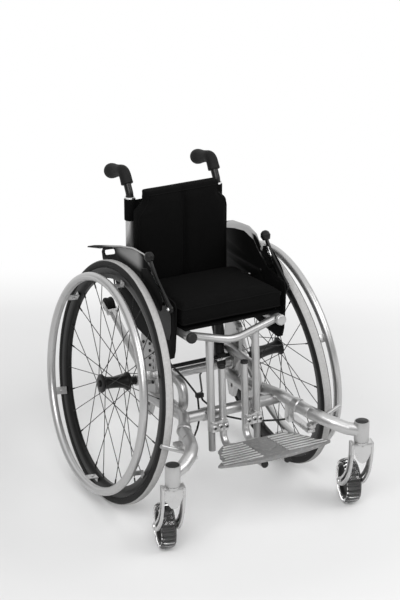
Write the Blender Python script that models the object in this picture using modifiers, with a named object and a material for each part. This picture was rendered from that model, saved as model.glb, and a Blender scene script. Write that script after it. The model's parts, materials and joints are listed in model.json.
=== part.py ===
"""Rigid active wheelchair, child size. Metres, +Z up, front toward -Y, user's right side at -X (suffix _r)."""
import bpy
import bmesh
import math
from mathutils import Vector, Matrix

# rear wheels
CAMBER = math.radians(6.78)
TYRE_RADIUS = 0.295
TYRE_HALF_WIDTH = 0.0135
WHEEL_X = 0.2106
RIM_OUTER = 0.2762
RIM_INNER = 0.2500
RIM_HALF_WIDTH = 0.0105
HANDRIM_RADIUS = 0.2575
HANDRIM_TUBE = 0.0102
HANDRIM_OFFSET = 0.0480
TAB_FIRST = math.radians(56)
TAB_COUNT = 6
SPOKE_COUNT = 28
SPOKE_RADIUS = 0.0010
FLANGE_RADIUS = 0.0225
FLANGE_OUT = 0.0325
FLANGE_IN = -0.0357
PIN_RADIUS = 0.00635
RING_STEPS = 40
# front casters
CASTER_X = 0.2483
CASTER_Y = -0.3898
CASTER_TOP = 0.2565
CASTER_BOTTOM = 0.2055
CASTER_TURN = math.radians(14.5)
CASTER_TRAIL = 0.0905
CASTER_RADIUS = 0.0550
CASTER_HALF_WIDTH = 0.0180
# frame
CAMBER_TUBE_Z = 0.2830
CAMBER_TUBE_R = 0.0125
ROD_Z = 0.3025
ROD_R = 0.0050
PLATE_X = 0.1150
PLATE_HALF = 0.0050
UTUBE_X = 0.0990
UTUBE_R = 0.0115
CROSS_Y = -0.1920
CROSS_Z = 0.2587
CROSS_R = 0.0135
HANGER_X = 0.0605
HANGER_R = 0.00925
FOOT_X = 0.0300
FOOT_R = 0.0088
CLAMP_Y = -0.2195
CLAMP_Z = 0.2390
LEAN = 0.0580
# seat and back
RAIL_X = 0.1170
RAIL_R = 0.0125
RAIL_FRONT_Y = -0.2350
RAIL_FRONT_Z = 0.4790
RAIL_REAR_Y = 0.0660
RAIL_SLOPE = -0.0870
BACK_X = 0.1165
BACK_Y = 0.0950
BACK_R = 0.0110
BACK_PIVOT_Z = 0.4750
# everything is built with the rear axle at y = 0 and x = 0 halfway between the wheels, and moved by this much at the end
SHIFT = Vector((-0.00134, 0.07571, 0))
GAP = 0.0003
MERGE = 0.00001

OBJECT_NAME = "active_wheelchair"


def clear_scene():
    for item in list(bpy.data.objects):
        bpy.data.objects.remove(item, do_unlink=True)
    for group in list(bpy.data.collections):
        bpy.data.collections.remove(group)


clear_scene()
PARTS = bpy.data.collections.new(OBJECT_NAME)
CUTTERS = bpy.data.collections.new("cutters")
bpy.context.scene.collection.children.link(PARTS)
bpy.context.scene.collection.children.link(CUTTERS)
CUTTERS.hide_render = True


def material(name, colour, metallic, roughness):
    made = bpy.data.materials.new(name)
    made.use_nodes = True
    shader = made.node_tree.nodes["Principled BSDF"]
    shader.inputs["Base Color"].default_value = (*colour, 1.0)
    shader.inputs["Metallic"].default_value = metallic
    shader.inputs["Roughness"].default_value = roughness
    made.diffuse_color = (*colour, 1.0)
    return made


SILVER = material("silver_paint", (0.56, 0.56, 0.57), 0.75, 0.38)
CHROME = material("bright_steel", (0.72, 0.72, 0.73), 1.0, 0.18)
BLACK_METAL = material("black_anodised", (0.012, 0.012, 0.013), 0.6, 0.35)
SPOKE_BLACK = material("dark_spoke_steel", (0.030, 0.030, 0.032), 0.7, 0.35)
BLACK_PLASTIC = material("black_plastic", (0.014, 0.014, 0.015), 0.0, 0.42)
BLACK_RUBBER = material("black_rubber", (0.017, 0.017, 0.018), 0.0, 0.70)
GREY_TYRE = material("grey_tyre", (0.30, 0.30, 0.30), 0.0, 0.65)
CLEAR_TYRE = material("pale_caster_tyre", (0.62, 0.62, 0.60), 0.0, 0.25)
FABRIC = material("black_fabric", (0.010, 0.010, 0.011), 0.0, 0.85)


def link_temp(mesh, name):
    made = bpy.data.objects.new(name, mesh)
    CUTTERS.objects.link(made)
    return made


def baked(source):
    """Evaluates an object or curve, welds its seams and gives back a plain mesh object in world space."""
    bpy.context.view_layer.update()
    graph = bpy.context.evaluated_depsgraph_get()
    mesh = bpy.data.meshes.new_from_object(source.evaluated_get(graph))
    mesh.transform(source.matrix_world)
    work = bmesh.new()
    work.from_mesh(mesh)
    bmesh.ops.remove_doubles(work, verts=work.verts, dist=MERGE)
    bmesh.ops.recalc_face_normals(work, faces=work.faces)
    work.to_mesh(mesh)
    work.free()
    name = source.name
    bpy.data.objects.remove(source, do_unlink=True)
    mesh.materials.clear()
    return link_temp(mesh, name + "_mesh")


def frame_matrix(origin, z_axis, x_hint=Vector((0, 1, 0))):
    """Matrix whose z runs along z_axis and whose x lies as near x_hint as it can."""
    z = Vector(z_axis).normalized()
    x = Vector(x_hint) - Vector(x_hint).dot(z) * z
    x.normalize()
    y = z.cross(x)
    turn = Matrix((x, y, z)).transposed().to_4x4()
    return Matrix.Translation(Vector(origin)) @ turn


def rounded(points, radius, step=math.radians(18)):
    """Polyline with each inner corner replaced by an arc of the given radius."""
    points = [Vector(p) for p in points]
    out = [points[0]]
    for before, corner, after in zip(points, points[1:], points[2:]):
        a = (before - corner).normalized()
        b = (after - corner).normalized()
        turn = math.pi - a.angle(b)
        if radius <= 0 or turn < 0.02:
            out.append(corner)
            continue
        reach = radius * math.tan(turn / 2)
        centre = corner + (a + b).normalized() * (radius / math.cos(turn / 2))
        count = max(1, math.ceil(turn / step))
        start = corner + a * reach - centre
        axis = start.cross(corner + b * reach - centre).normalized()
        out += [centre + Matrix.Rotation(turn * k / count, 3, axis) @ start for k in range(count + 1)]
    out.append(points[-1])
    return out


def tube(points, radius, sides=12, fillet=0.0, step=math.radians(18)):
    """Solid round bar along a polyline, as a bevelled curve."""
    curve = bpy.data.curves.new("tube", "CURVE")
    curve.dimensions = "3D"
    curve.bevel_depth = radius
    curve.bevel_resolution = (sides - 4) // 2
    curve.use_fill_caps = True
    path = rounded(points, fillet, step)
    spline = curve.splines.new("POLY")
    spline.points.add(len(path) - 1)
    for slot, p in zip(spline.points, path):
        slot.co = (*p, 1.0)
    return baked(link_temp(curve, "tube"))


def turned(profile, origin, axis, steps=16, x_hint=Vector((0, 1, 0))):
    """Profile of (radius, height) pairs spun round the axis; a closed ring when it never meets the axis."""
    hollow = min(r for r, _ in profile) > MERGE
    mesh = bpy.data.meshes.new("turned")
    count = len(profile)
    edges = [(k, k + 1) for k in range(count - 1)] + ([(count - 1, 0)] if hollow else [])
    mesh.from_pydata([(r, 0, h) for r, h in profile], edges, [])
    made = link_temp(mesh, "turned")
    screw = made.modifiers.new("spin", "SCREW")
    screw.steps = screw.render_steps = steps
    screw.use_merge_vertices = True
    screw.merge_threshold = 0.0001
    made.matrix_world = frame_matrix(origin, axis, x_hint)
    return baked(made)


def rod(start, end, radius, sides=12):
    start, end = Vector(start), Vector(end)
    length = (end - start).length
    return turned([(0, 0), (radius, 0), (radius, length), (0, length)], start, end - start, sides)


def plate(outer, thickness, origin, x_dir, y_dir, holes=()):
    """Flat outline in the plane of x_dir and y_dir, extruded evenly both ways."""
    curve = bpy.data.curves.new("plate", "CURVE")
    curve.dimensions = "2D"
    curve.fill_mode = "BOTH"
    curve.extrude = thickness / 2
    for ring in [outer, *holes]:
        spline = curve.splines.new("POLY")
        spline.points.add(len(ring) - 1)
        spline.use_cyclic_u = True
        for slot, p in zip(spline.points, ring):
            slot.co = (p[0], p[1], 0, 1)
    made = link_temp(curve, "plate")
    x = Vector(x_dir).normalized()
    y = (Vector(y_dir) - Vector(y_dir).dot(x) * x).normalized()
    made.matrix_world = Matrix.Translation(Vector(origin)) @ Matrix((x, y, x.cross(y))).transposed().to_4x4()
    return baked(made)


def circle(x, y, radius, sides=10):
    return [(x + radius * math.cos(2 * math.pi * k / sides), y + radius * math.sin(2 * math.pi * k / sides)) for k in range(sides)]


def slot_ring(x0, y0, x1, y1, radius, sides=4):
    """Outline of a round-ended slot between two points."""
    heading = math.atan2(y1 - y0, x1 - x0)
    ring = []
    for cx, cy, base in ((x1, y1, heading - math.pi / 2), (x0, y0, heading + math.pi / 2)):
        ring += [(cx + radius * math.cos(base + math.pi * k / sides), cy + radius * math.sin(base + math.pi * k / sides)) for k in range(sides + 1)]
    return ring


def block(size, centre, matrix=Matrix.Identity(4)):
    mesh = bpy.data.meshes.new("block")
    work = bmesh.new()
    bmesh.ops.create_cube(work, size=1.0)
    work.to_mesh(mesh)
    work.free()
    mesh.transform(Matrix.Translation(Vector(centre)) @ Matrix.Diagonal((*size, 1.0)))
    mesh.transform(matrix)
    return link_temp(mesh, "block")


def combine(base, others, operation):
    """EXACT union or difference of one solid with a list of solids, which are used up."""
    for other in others:
        step = base.modifiers.new("combine", "BOOLEAN")
        step.operation = operation
        step.solver = "EXACT"
        step.object = other
    result = baked(base)
    for other in others:
        bpy.data.objects.remove(other, do_unlink=True)
    return result


def union(base, *others):
    return combine(base, others, "UNION")


def cut(base, *others):
    return combine(base, others, "DIFFERENCE")


def merged(pieces):
    """Several solids that don't touch, as one mesh, to be used in a single Boolean."""
    work = bmesh.new()
    for piece in pieces:
        work.from_mesh(piece.data)
        bpy.data.objects.remove(piece, do_unlink=True)
    mesh = bpy.data.meshes.new("merged")
    work.to_mesh(mesh)
    work.free()
    return link_temp(mesh, "merged")


def triangulate(source):
    work = bmesh.new()
    work.from_mesh(source.data)
    bmesh.ops.triangulate(work, faces=work.faces)
    work.to_mesh(source.data)
    work.free()


def mirrored(source):
    """Copy of a solid across the x = 0 plane."""
    mesh = source.data.copy()
    mesh.transform(Matrix.Diagonal((-1, 1, 1, 1)))
    mesh.flip_normals()
    return link_temp(mesh, source.name + "_m")


def finish(source, name, look, joint=None, smooth=35):
    """Names the solid, gives it its material and puts its origin on its joint."""
    mesh = source.data
    point = Vector(joint) if joint else Vector((0, 0, 0))
    mesh.transform(Matrix.Translation(-point))
    mesh.materials.clear()
    mesh.materials.append(look)
    mesh.shade_smooth()
    mesh.set_sharp_from_angle(angle=math.radians(smooth))
    mesh.name = name
    made = bpy.data.objects.new(name, mesh)
    made.location = point + SHIFT
    PARTS.objects.link(made)
    bpy.data.objects.remove(source, do_unlink=True)
    return made


def both(source, name, look, joint=None, smooth=35):
    """The same solid on both sides; source is the left one (+X)."""
    triangulate(source)
    other = mirrored(source)
    finish(source, name + "_l", look, joint, smooth)
    flipped = (-joint[0], joint[1], joint[2]) if joint else None
    finish(other, name + "_r", look, flipped, smooth)


# rear wheels: every piece is turned about the cambered axle
AXLE = Vector((math.cos(CAMBER), 0, math.sin(CAMBER)))
UP = Vector((-math.sin(CAMBER), 0, math.cos(CAMBER)))
REARWARD = Vector((0, 1, 0))
TREAD_HALF = 0.0040
WHEEL_Z = TYRE_RADIUS * math.cos(CAMBER) + TREAD_HALF * math.sin(CAMBER)
WHEEL = Vector((WHEEL_X, 0, WHEEL_Z))
SOCKET_END = -0.0580
NUT_END = -0.0405


def ring_profile(half):
    """Closed profile from its half with positive heights."""
    return half + [(r, -h) for r, h in reversed(half)]


def wheel_point(radius, angle, height):
    return WHEEL + radius * (math.cos(angle) * UP + math.sin(angle) * REARWARD) + height * AXLE


def wheel_spokes():
    """Spokes laced three-cross from two flanges, leaving each flange on alternate faces."""
    pitch = 2 * math.pi / SPOKE_COUNT
    pieces = []
    for k in range(SPOKE_COUNT):
        flange = FLANGE_OUT if k % 2 == 0 else FLANGE_IN
        lead = 1 if (k // 2) % 2 == 0 else -1
        at_rim = k * pitch
        at_hub = at_rim - lead * 6 * pitch
        start = wheel_point(0.0192, at_hub, flange + lead * 0.0021)
        end = wheel_point(0.2487, at_rim, math.copysign(0.0025, flange))
        pieces.append(rod(start, end, SPOKE_RADIUS, 3))
    return merged(pieces)


def build_rear_wheel():
    tyre = ring_profile([(0.2766, 0.0100), (0.2835, TYRE_HALF_WIDTH), (0.2905, 0.0115), (TYRE_RADIUS, TREAD_HALF)])
    both(turned(tyre, WHEEL, AXLE, RING_STEPS), "rear_tyre", GREY_TYRE, WHEEL, 50)
    rim = ring_profile([(RIM_OUTER, RIM_HALF_WIDTH), (0.2640, RIM_HALF_WIDTH), (RIM_INNER, 0.0045)])
    both(turned(rim, WHEEL, AXLE, RING_STEPS), "rear_rim", BLACK_METAL, WHEEL)
    bore = PIN_RADIUS + GAP
    barrel = [(bore, -0.0400), (0.0165, -0.0400), (FLANGE_RADIUS, -0.0386), (FLANGE_RADIUS, -0.0330), (0.0165, -0.0250), (0.0142, 0.0000)]
    barrel += [(0.0150, 0.0180), (0.0175, 0.0270), (FLANGE_RADIUS, 0.0305), (FLANGE_RADIUS, 0.0345), (0.0180, 0.0362), (0.0120, 0.0368), (bore, 0.0368)]
    hub = union(turned(barrel, WHEEL, AXLE, 12), wheel_spokes())
    both(hub, "rear_hub", SPOKE_BLACK, WHEEL)
    pin = [(0, -0.0880), (PIN_RADIUS, -0.0880), (PIN_RADIUS, SOCKET_END + 0.0005), (0.0105, SOCKET_END + 0.0005), (0.0105, NUT_END)]
    pin += [(PIN_RADIUS, NUT_END), (PIN_RADIUS, 0.0371), (0.0085, 0.0371), (0.0085, 0.0400), (0.0055, 0.0415), (0, 0.0415)]
    both(turned(pin, WHEEL, AXLE, 10), "axle_pin", CHROME)


def handrim_tab(angle):
    """Bent tab from the rim wall out to the handrim, with its screw head."""
    across = math.sin(angle) * UP - math.cos(angle) * REARWARD
    spoke = math.cos(angle) * UP + math.sin(angle) * REARWARD
    local = Matrix.Translation(WHEEL) @ Matrix((spoke, across, AXLE)).transposed().to_4x4()
    foot = block((0.0125, 0.0180, 0.0024), (0.2591, 0, 0.0123), local)
    arm = block((0.0028, 0.0200, 0.0310), (0.2540, 0, 0.0263), local)
    screw = rod(wheel_point(0.2500, angle, 0.0240), wheel_point(0.2535, angle, 0.0240), 0.0035, 6)
    return union(arm, foot, screw)


def build_handrim():
    tube_ring = [(HANDRIM_RADIUS + dr, HANDRIM_OFFSET + dh) for dr, dh in circle(0, 0, HANDRIM_TUBE, 8)]
    tabs = merged([handrim_tab(TAB_FIRST + 2 * math.pi * k / TAB_COUNT) for k in range(TAB_COUNT)])
    both(union(turned(tube_ring, WHEEL, AXLE, RING_STEPS), tabs), "handrim", SILVER, WHEEL, 40)


# front casters: built with the trail along +Y about the swivel axis, then placed and turned
def strap(path, width_start, width_end):
    """Outline of a band of changing width along a path in a plane."""
    path = [Vector((*p, 0)) for p in path]
    left, right = [], []
    for k, p in enumerate(path):
        heading = (path[min(k + 1, len(path) - 1)] - path[max(k - 1, 0)]).normalized()
        side = Vector((-heading.y, heading.x, 0))
        half = (width_start + (width_end - width_start) * k / (len(path) - 1)) / 2
        left.append(p + side * half)
        right.append(p - side * half)
    return [(v.x, v.y) for v in left + right[::-1]]


FORK_TOP = 0.2030
FORK_INNER = 0.0215
FORK_WALL = 0.0050
CASTER_BORE = 0.0043
LEG_PATH = [(0.0000, 0.2021), (0.0005, 0.1750), (0.0060, 0.1480), (0.0200, 0.1170), (0.0430, 0.0890), (0.0670, 0.0680), (CASTER_TRAIL, CASTER_RADIUS)]
SLOT_PATH = [(0.0015, 0.1680)] + LEG_PATH[2:6]


def caster_leg(side):
    outline = strap(LEG_PATH, 0.0270, 0.0200)
    slot = strap(SLOT_PATH, 0.0085, 0.0065)
    flat = plate(outline, FORK_WALL, (side * (FORK_INNER + FORK_WALL / 2), 0, 0), (0, 1, 0), (0, 0, 1), [slot])
    x_in, x_out = side * (FORK_INNER - 0.0004), side * (FORK_INNER + FORK_WALL + 0.0030)
    boss = rod((x_in, CASTER_TRAIL, CASTER_RADIUS), (x_out, CASTER_TRAIL, CASTER_RADIUS), 0.0078, 10)
    return union(flat, boss)


def caster_fork():
    crown = block((2 * (FORK_INNER + FORK_WALL) - 0.0008, 0.0266, 0.0160), (0, 0, FORK_TOP - 0.0080))
    stem_profile = [(0, 0.1990), (0.0165, 0.1990), (0.0165, 0.2060), (0.0060, 0.2060), (0.0060, 0.2530), (0, 0.2530)]
    axle = rod((-FORK_INNER - 0.002, CASTER_TRAIL, CASTER_RADIUS), (FORK_INNER + 0.002, CASTER_TRAIL, CASTER_RADIUS), CASTER_BORE - GAP, 10)
    web = block((2 * FORK_INNER + 0.0020, 0.0040, 0.0380), (0, -0.0100, 0.1700))
    return union(crown, web, caster_leg(1), caster_leg(-1), turned(stem_profile, (0, 0, 0), (0, 0, 1), 14), axle)


def caster_core():
    half = [(CASTER_BORE, 0.0200), (0.0100, 0.0200), (0.0115, 0.0085), (0.0350, 0.0080), (0.0375, 0.0145), (0.0430, 0.0145)]
    return turned(ring_profile(half[::-1]), (0, CASTER_TRAIL, CASTER_RADIUS), (1, 0, 0), 20)


def build_caster(side, suffix):
    at = Vector((side * CASTER_X, CASTER_Y, 0))
    placed = Matrix.Translation(at) @ Matrix.Rotation(-CASTER_TURN, 4, "Z")
    hub = placed @ Vector((0, CASTER_TRAIL, CASTER_RADIUS))
    tyre = ring_profile([(0.0433, 0.0145), (0.0485, CASTER_HALF_WIDTH), (0.0525, 0.0140), (CASTER_RADIUS, 0.0060)])
    pieces = [(caster_fork(), "caster_fork", SILVER, at), (caster_core(), "caster_core", BLACK_PLASTIC, hub)]
    pieces.append((turned(tyre, (0, CASTER_TRAIL, CASTER_RADIUS), (1, 0, 0), 20), "caster_tyre", CLEAR_TYRE, hub))
    for piece, name, look, joint in pieces:
        piece.data.transform(placed)
        finish(piece, f"{name}_{suffix}", look, joint)


# frame
SIDE_R = 0.0140
ARM_R = 0.0155
MEMBER = [(0.1160, -0.0100, 0.2400), (0.1290, -0.2120, 0.2755), (0.1530, -0.2600, 0.2610)]
COLLAR_R = 0.0180
ARM_PATH = [(0.1605, -0.3000, 0.2592), (0.1720, -0.3340, 0.2570), (0.1890, -0.3590, 0.2505), (0.2150, -0.3770, 0.2395), (0.2470, -0.3892, 0.2320)]
MEMBER_END = Vector(MEMBER[2])
MEMBER_DIR = (MEMBER_END - Vector(MEMBER[1])).normalized()
UTUBE_FRONT = -0.1500
UTUBE_TOP = 0.3250
UTUBE_LOW = 0.2500
TIP_Y, TIP_Z = 0.0455, 0.2900
POST_X = 0.0740
POST_R = 0.0110


def member_tube(radius):
    return tube(MEMBER, radius, 12, 0.06)


def camber_tube(radius, half):
    return rod((-half, 0, CAMBER_TUBE_Z), (half, 0, CAMBER_TUBE_Z), radius, 16)


def build_axle_tube():
    sockets = rod(WHEEL + AXLE * -0.0905, WHEEL + AXLE * SOCKET_END, 0.0132, 16)
    bores = rod(WHEEL + AXLE * -0.0885, WHEEL + AXLE * -0.0400, PIN_RADIUS + GAP, 12)
    body = union(camber_tube(CAMBER_TUBE_R, 0.1280), sockets, mirrored(sockets))
    finish(cut(body, bores, mirrored(bores)), "camber_tube", SILVER)
    finish(rod((-0.1027, 0, ROD_Z), (0.1027, 0, ROD_Z), ROD_R, 12), "stabiliser_rod", BLACK_METAL)


def side_frame():
    outline = [(-0.030, 0.396), (0.029, 0.396), (0.037, 0.388), (0.037, 0.262), (0.012, 0.190), (-0.008, 0.190), (-0.038, 0.262), (-0.038, 0.388)]
    holes = [circle(-0.028, 0.380 - 0.0187 * k, 0.0036, 6) for k in range(4)]
    holes.append(slot_ring(-0.002, 0.242, -0.002, 0.218, 0.0042))
    flat = plate(outline, 2 * PLATE_HALF - 0.0010, (PLATE_X - 0.0015, 0, 0), (0, 1, 0), (0, 0, 1), holes)
    boss = rod((0.1030, 0, CAMBER_TUBE_Z), (0.1176, 0, CAMBER_TUBE_Z), 0.0190, 16)
    loop = [(UTUBE_X, 0.018, UTUBE_TOP), (UTUBE_X, UTUBE_FRONT, UTUBE_TOP), (UTUBE_X, UTUBE_FRONT, UTUBE_LOW), (UTUBE_X, 0.018, UTUBE_LOW)]
    collar = rod(MEMBER_END - MEMBER_DIR * 0.0180, MEMBER_END, COLLAR_R, 14)
    body = union(flat, boss, tube(loop, UTUBE_R, 10, 0.0370, math.radians(23)), member_tube(SIDE_R), collar)
    return cut(body, camber_tube(CAMBER_TUBE_R + GAP, 0.1300))


def build_side_frames():
    left = side_frame()
    right = mirrored(left)
    finish(left, "side_frame_l", SILVER)
    lug = rod((-0.1178, TIP_Y, TIP_Z), (-0.1092, TIP_Y, TIP_Z), 0.0090, 14)
    web = block((0.0080, 0.0150, 0.0160), (-0.1135, 0.0375, TIP_Z))
    hole = rod((-0.1300, TIP_Y, TIP_Z), (-0.1000, TIP_Y, TIP_Z), 0.0040 + GAP, 10)
    finish(cut(union(right, web, lug), hole), "side_frame_r", SILVER)


def hanger_y(z):
    return CLAMP_Y + (z - CLAMP_Z) * LEAN


def hanger_bar(x, radius, low, high, sides=14):
    return rod((x, hanger_y(low), low), (x, hanger_y(high), high), radius, sides)


def build_cross_tube():
    body = rod((-0.1290, CROSS_Y, CROSS_Z), (0.1290, CROSS_Y, CROSS_Z), CROSS_R, 16)
    collar = rod((HANGER_X - 0.011, CROSS_Y, CROSS_Z), (HANGER_X + 0.011, CROSS_Y, CROSS_Z), 0.0162, 14)
    lip = block((0.0206, 0.0160, 0.0150), (HANGER_X, -0.2065, 0.2613))
    body = union(body, merged([mirrored(collar), collar]))
    body = union(body, merged([mirrored(lip), lip]))
    member = member_tube(SIDE_R + GAP)
    hanger = hanger_bar(HANGER_X, HANGER_R + GAP, 0.17, 0.47)
    finish(cut(body, mirrored(member), member, mirrored(hanger), hanger), "front_cross_tube", SILVER)


def build_caster_arm():
    start = MEMBER_END - MEMBER_DIR * 0.0060
    arm = tube([start] + ARM_PATH, ARM_R, 12, 0.040, math.radians(24))
    housing = turned([(0, CASTER_BOTTOM + 0.0010), (0.0168, CASTER_BOTTOM + 0.0010), (0.0180, CASTER_BOTTOM + 0.0025), (0.0180, CASTER_TOP), (0, CASTER_TOP)], (CASTER_X, CASTER_Y, 0), (0, 0, 1), 18)
    bore = turned([(0, 0.19), (0.0063, 0.19), (0.0063, CASTER_TOP - 0.0028), (0.0160, CASTER_TOP - 0.0028), (0.0160, 0.27), (0, 0.27)], (CASTER_X, CASTER_Y, 0), (0, 0, 1), 18)
    behind = rod(MEMBER_END - MEMBER_DIR * 0.04, MEMBER_END + MEMBER_DIR * GAP, 0.032, 12)
    both(cut(union(housing, arm), bore, behind), "caster_arm", SILVER)
    cap = [(0, CASTER_TOP - 0.0025), (0.0157, CASTER_TOP - 0.0025), (0.0157, CASTER_TOP + 0.0002), (0.0120, CASTER_TOP + 0.0014), (0, CASTER_TOP + 0.0018)]
    both(turned(cap, (CASTER_X, CASTER_Y, 0), (0, 0, 1), 18), "caster_cap", BLACK_PLASTIC)


# foot end
BAR_R = 0.0095
BAR_DROP = 0.0350
BAR_Y = -0.2120
FOOT_TOP = 0.3830
FOOT_FRONT_Y = -0.4250
FOOT_FRONT_Z = 0.2227
FOOT_SLOPE = 0.1100
FOOT_CORNER_Z = 0.1840
FOOT_RUN_Y = -0.2760
HINGE_Y, HINGE_Z = -0.3020, 0.2130
HINGE_R = 0.0060


def bar_path():
    return [(-0.110, BAR_Y, RAIL_FRONT_Z - 0.002), (0, BAR_Y, RAIL_FRONT_Z - BAR_DROP), (0.110, BAR_Y, RAIL_FRONT_Z - 0.002)]


def front_bar(radius):
    return tube(bar_path(), radius, 12, 0.10, math.radians(6))


def foot_path():
    top = Vector((FOOT_X, hanger_y(FOOT_TOP), FOOT_TOP))
    corner = Vector((FOOT_X, hanger_y(FOOT_CORNER_Z), FOOT_CORNER_Z))
    run_up = Vector((FOOT_X, FOOT_RUN_Y, FOOT_FRONT_Z - FOOT_SLOPE * (FOOT_RUN_Y - FOOT_FRONT_Y)))
    return [top, corner, run_up, Vector((FOOT_X, FOOT_FRONT_Y, FOOT_FRONT_Z))]


def build_foot_end():
    hanger = cut(hanger_bar(HANGER_X, HANGER_R, 0.1760, 0.4700), front_bar(BAR_R + GAP), hanger_bar(HANGER_X, 0.0072, 0.1600, 0.2100, 10))
    both(hanger, "hanger_tube", SILVER)
    clamp = block((0.0560, 0.0250, 0.0300), (0.0455, CLAMP_Y - 0.0010, CLAMP_Z - 0.0012))
    step = clamp.modifiers.new("edge", "BEVEL")
    step.width, step.segments, step.limit_method = 0.0050, 1, "ANGLE"
    screws = [rod((x, CLAMP_Y - 0.0160, CLAMP_Z), (x, CLAMP_Y - 0.0120, CLAMP_Z), 0.0032, 6) for x in (0.0455, 0.0200, 0.0700)]
    clamp = union(baked(clamp), merged(screws))
    clamp = cut(clamp, hanger_bar(HANGER_X, HANGER_R + GAP, 0.2, 0.3), hanger_bar(FOOT_X, FOOT_R + GAP, 0.2, 0.3))
    both(clamp, "foot_clamp", SILVER)
    path = foot_path()
    left = tube(path, FOOT_R, 12, 0.0260, math.radians(18))
    hinge = rod((-FOOT_X, HINGE_Y, HINGE_Z), (FOOT_X, HINGE_Y, HINGE_Z), HINGE_R, 12)
    finish(union(left, mirrored(left), hinge), "foot_tubes", SILVER, path[0])


PLATE_TILT = math.atan(FOOT_SLOPE)
PLATE_EDGE = [(0.025, 0.1465), (0.070, 0.142), (0.112, 0.1335), (0.143, 0.123), (0.147, 0.117), (0.1225, 0.094), (0.118, 0.083), (0.118, 0.070), (0.107, 0.046), (0.105, 0.036), (0.098, 0.028), (0.080, 0.010)]
RIB_ROWS = 8
RIB_FIRST = 0.0240
RIB_PITCH = 0.0140


def build_footplate():
    """Ribbed plate in its own plane: x across, y forward from the hinge, z up out of the plate."""
    local = Matrix.Translation((0, HINGE_Y, HINGE_Z)) @ Matrix.Rotation(-PLATE_TILT, 4, "X") @ Matrix.Scale(-1, 4, (0, 1, 0))
    base_z = 0.0135
    outline = PLATE_EDGE + [(-x, y) for x, y in reversed(PLATE_EDGE)]
    body = plate(outline, 0.0050, (0, 0, base_z), (1, 0, 0), (0, 1, 0))
    pieces = []
    for k in range(RIB_ROWS):
        y = RIB_FIRST + RIB_PITCH * k
        reach = min(0.1020, 0.0700 + 0.62 * y)
        for side in (-1, 1):
            inner = 0.0330
            pieces.append(block((reach - inner, 0.0048, 0.0035), (side * (reach + inner) / 2, y, base_z + 0.0035)))
    pad = plate(circle(0, 0.064, 0.0300, 14), 0.0030, (0, 0, base_z + 0.0030), (1, 0, 0), (0, 1, 0))
    pieces.append(pad)
    body = union(body, merged(pieces), block((0.0340, 0.0180, 0.0140), (0, 0.0150, 0.0060)))
    body = union(body, rod((-0.0175, 0, 0), (0.0175, 0, 0), 0.0100, 14))
    body = cut(body, rod((-0.03, 0, 0), (0.03, 0, 0), HINGE_R + GAP, 12))
    body.data.transform(local)
    body.data.flip_normals()
    finish(body, "footplate", SILVER, (0, HINGE_Y, HINGE_Z))


# seat and back
SLING_T = 0.0030
SEAT_T = 0.0620
SEAT_FRONT_Y, SEAT_REAR_Y = -0.2120, 0.0265
SEAT_HALF = 0.1375
BACK_FRONT_Y, BACK_REAR_Y = 0.0345, 0.0805
BACK_LOW, BACK_HIGH = 0.4900, 0.7480
PUSH_R = 0.0092
TUBE_TOP = 0.7205
HANDLE_BEND = 0.7265
HANDLE_LEAN = 0.6200
GRIP_LOW = 0.7475
GRIP_CORNER = 0.7759
GRIP_END = (0.1950, 0.7540)
GRIP_R = 0.0150


def rail_z(y):
    return RAIL_FRONT_Z + RAIL_SLOPE * (y - RAIL_FRONT_Y)


def rail_bar(x, radius, y0, y1, sides=14):
    return rod((x, y0, rail_z(y0)), (x, y1, rail_z(y1)), radius, sides)


def build_seat_frame():
    rail = rail_bar(RAIL_X, RAIL_R, RAIL_FRONT_Y + 0.0105, RAIL_REAR_Y)
    lug = plate([(0.046, 0.446), (0.100, 0.455), (0.112, 0.468), (0.108, 0.490), (0.088, 0.494), (0.057, 0.470), (0.046, 0.462)], 0.0060, (0.1020, 0, 0), (0, 1, 0), (0, 0, 1))
    pin = rod((0.1010, BACK_Y, BACK_PIVOT_Z), (0.1275, BACK_Y, BACK_PIVOT_Z), 0.0040, 10)
    left = union(rail, lug, pin)
    cross = rod((-0.1120, 0, rail_z(0)), (0.1120, 0, rail_z(0)), 0.0090, 14)
    finish(union(front_bar(BAR_R), mirrored(left), left, cross), "seat_frame", SILVER)
    heading = (Vector((0, -1, -RAIL_SLOPE))).normalized()
    ribs = [(0, GAP), (0.0133, GAP), (0.0133, 0.0030), (0.0122, 0.0038), (0.0131, 0.0048), (0.0131, 0.0075), (0.0110, 0.0100), (0, 0.0104)]
    end = (RAIL_X, RAIL_FRONT_Y + 0.0105, rail_z(RAIL_FRONT_Y + 0.0105))
    both(turned(ribs, end, heading, 12), "rail_cap", BLACK_PLASTIC)
    post = cut(rod((POST_X, 0, 0.3408), (POST_X, 0, 0.4560), POST_R, 14), rod((0.04, 0, rail_z(0)), (0.11, 0, rail_z(0)), 0.0093, 14))
    both(post, "seat_post", BLACK_PLASTIC)
    saddle = union(block((0.0230, 0.0310, 0.0330), (POST_X, 0, 0.2995)), rod((POST_X, 0, 0.3140), (POST_X, 0, 0.3405), 0.0130, 14))
    saddle = cut(saddle, camber_tube(CAMBER_TUBE_R + GAP, 0.13), rod((0.04, 0, ROD_Z), (0.11, 0, ROD_Z), ROD_R + GAP, 12))
    both(saddle, "post_clamp", CHROME)


def seat_matrix():
    """Seat plane: origin on the sling top under the cushion's front edge, y rearward along the rails."""
    lift = RAIL_R + GAP + SLING_T + GAP
    normal = Vector((0, -RAIL_SLOPE, 1)).normalized()
    along = Vector((0, 1, RAIL_SLOPE)).normalized()
    origin = Vector((0, SEAT_FRONT_Y, rail_z(SEAT_FRONT_Y))) + normal * lift
    return Matrix.Translation(origin) @ Matrix((Vector((1, 0, 0)), along, normal)).transposed().to_4x4()


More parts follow.
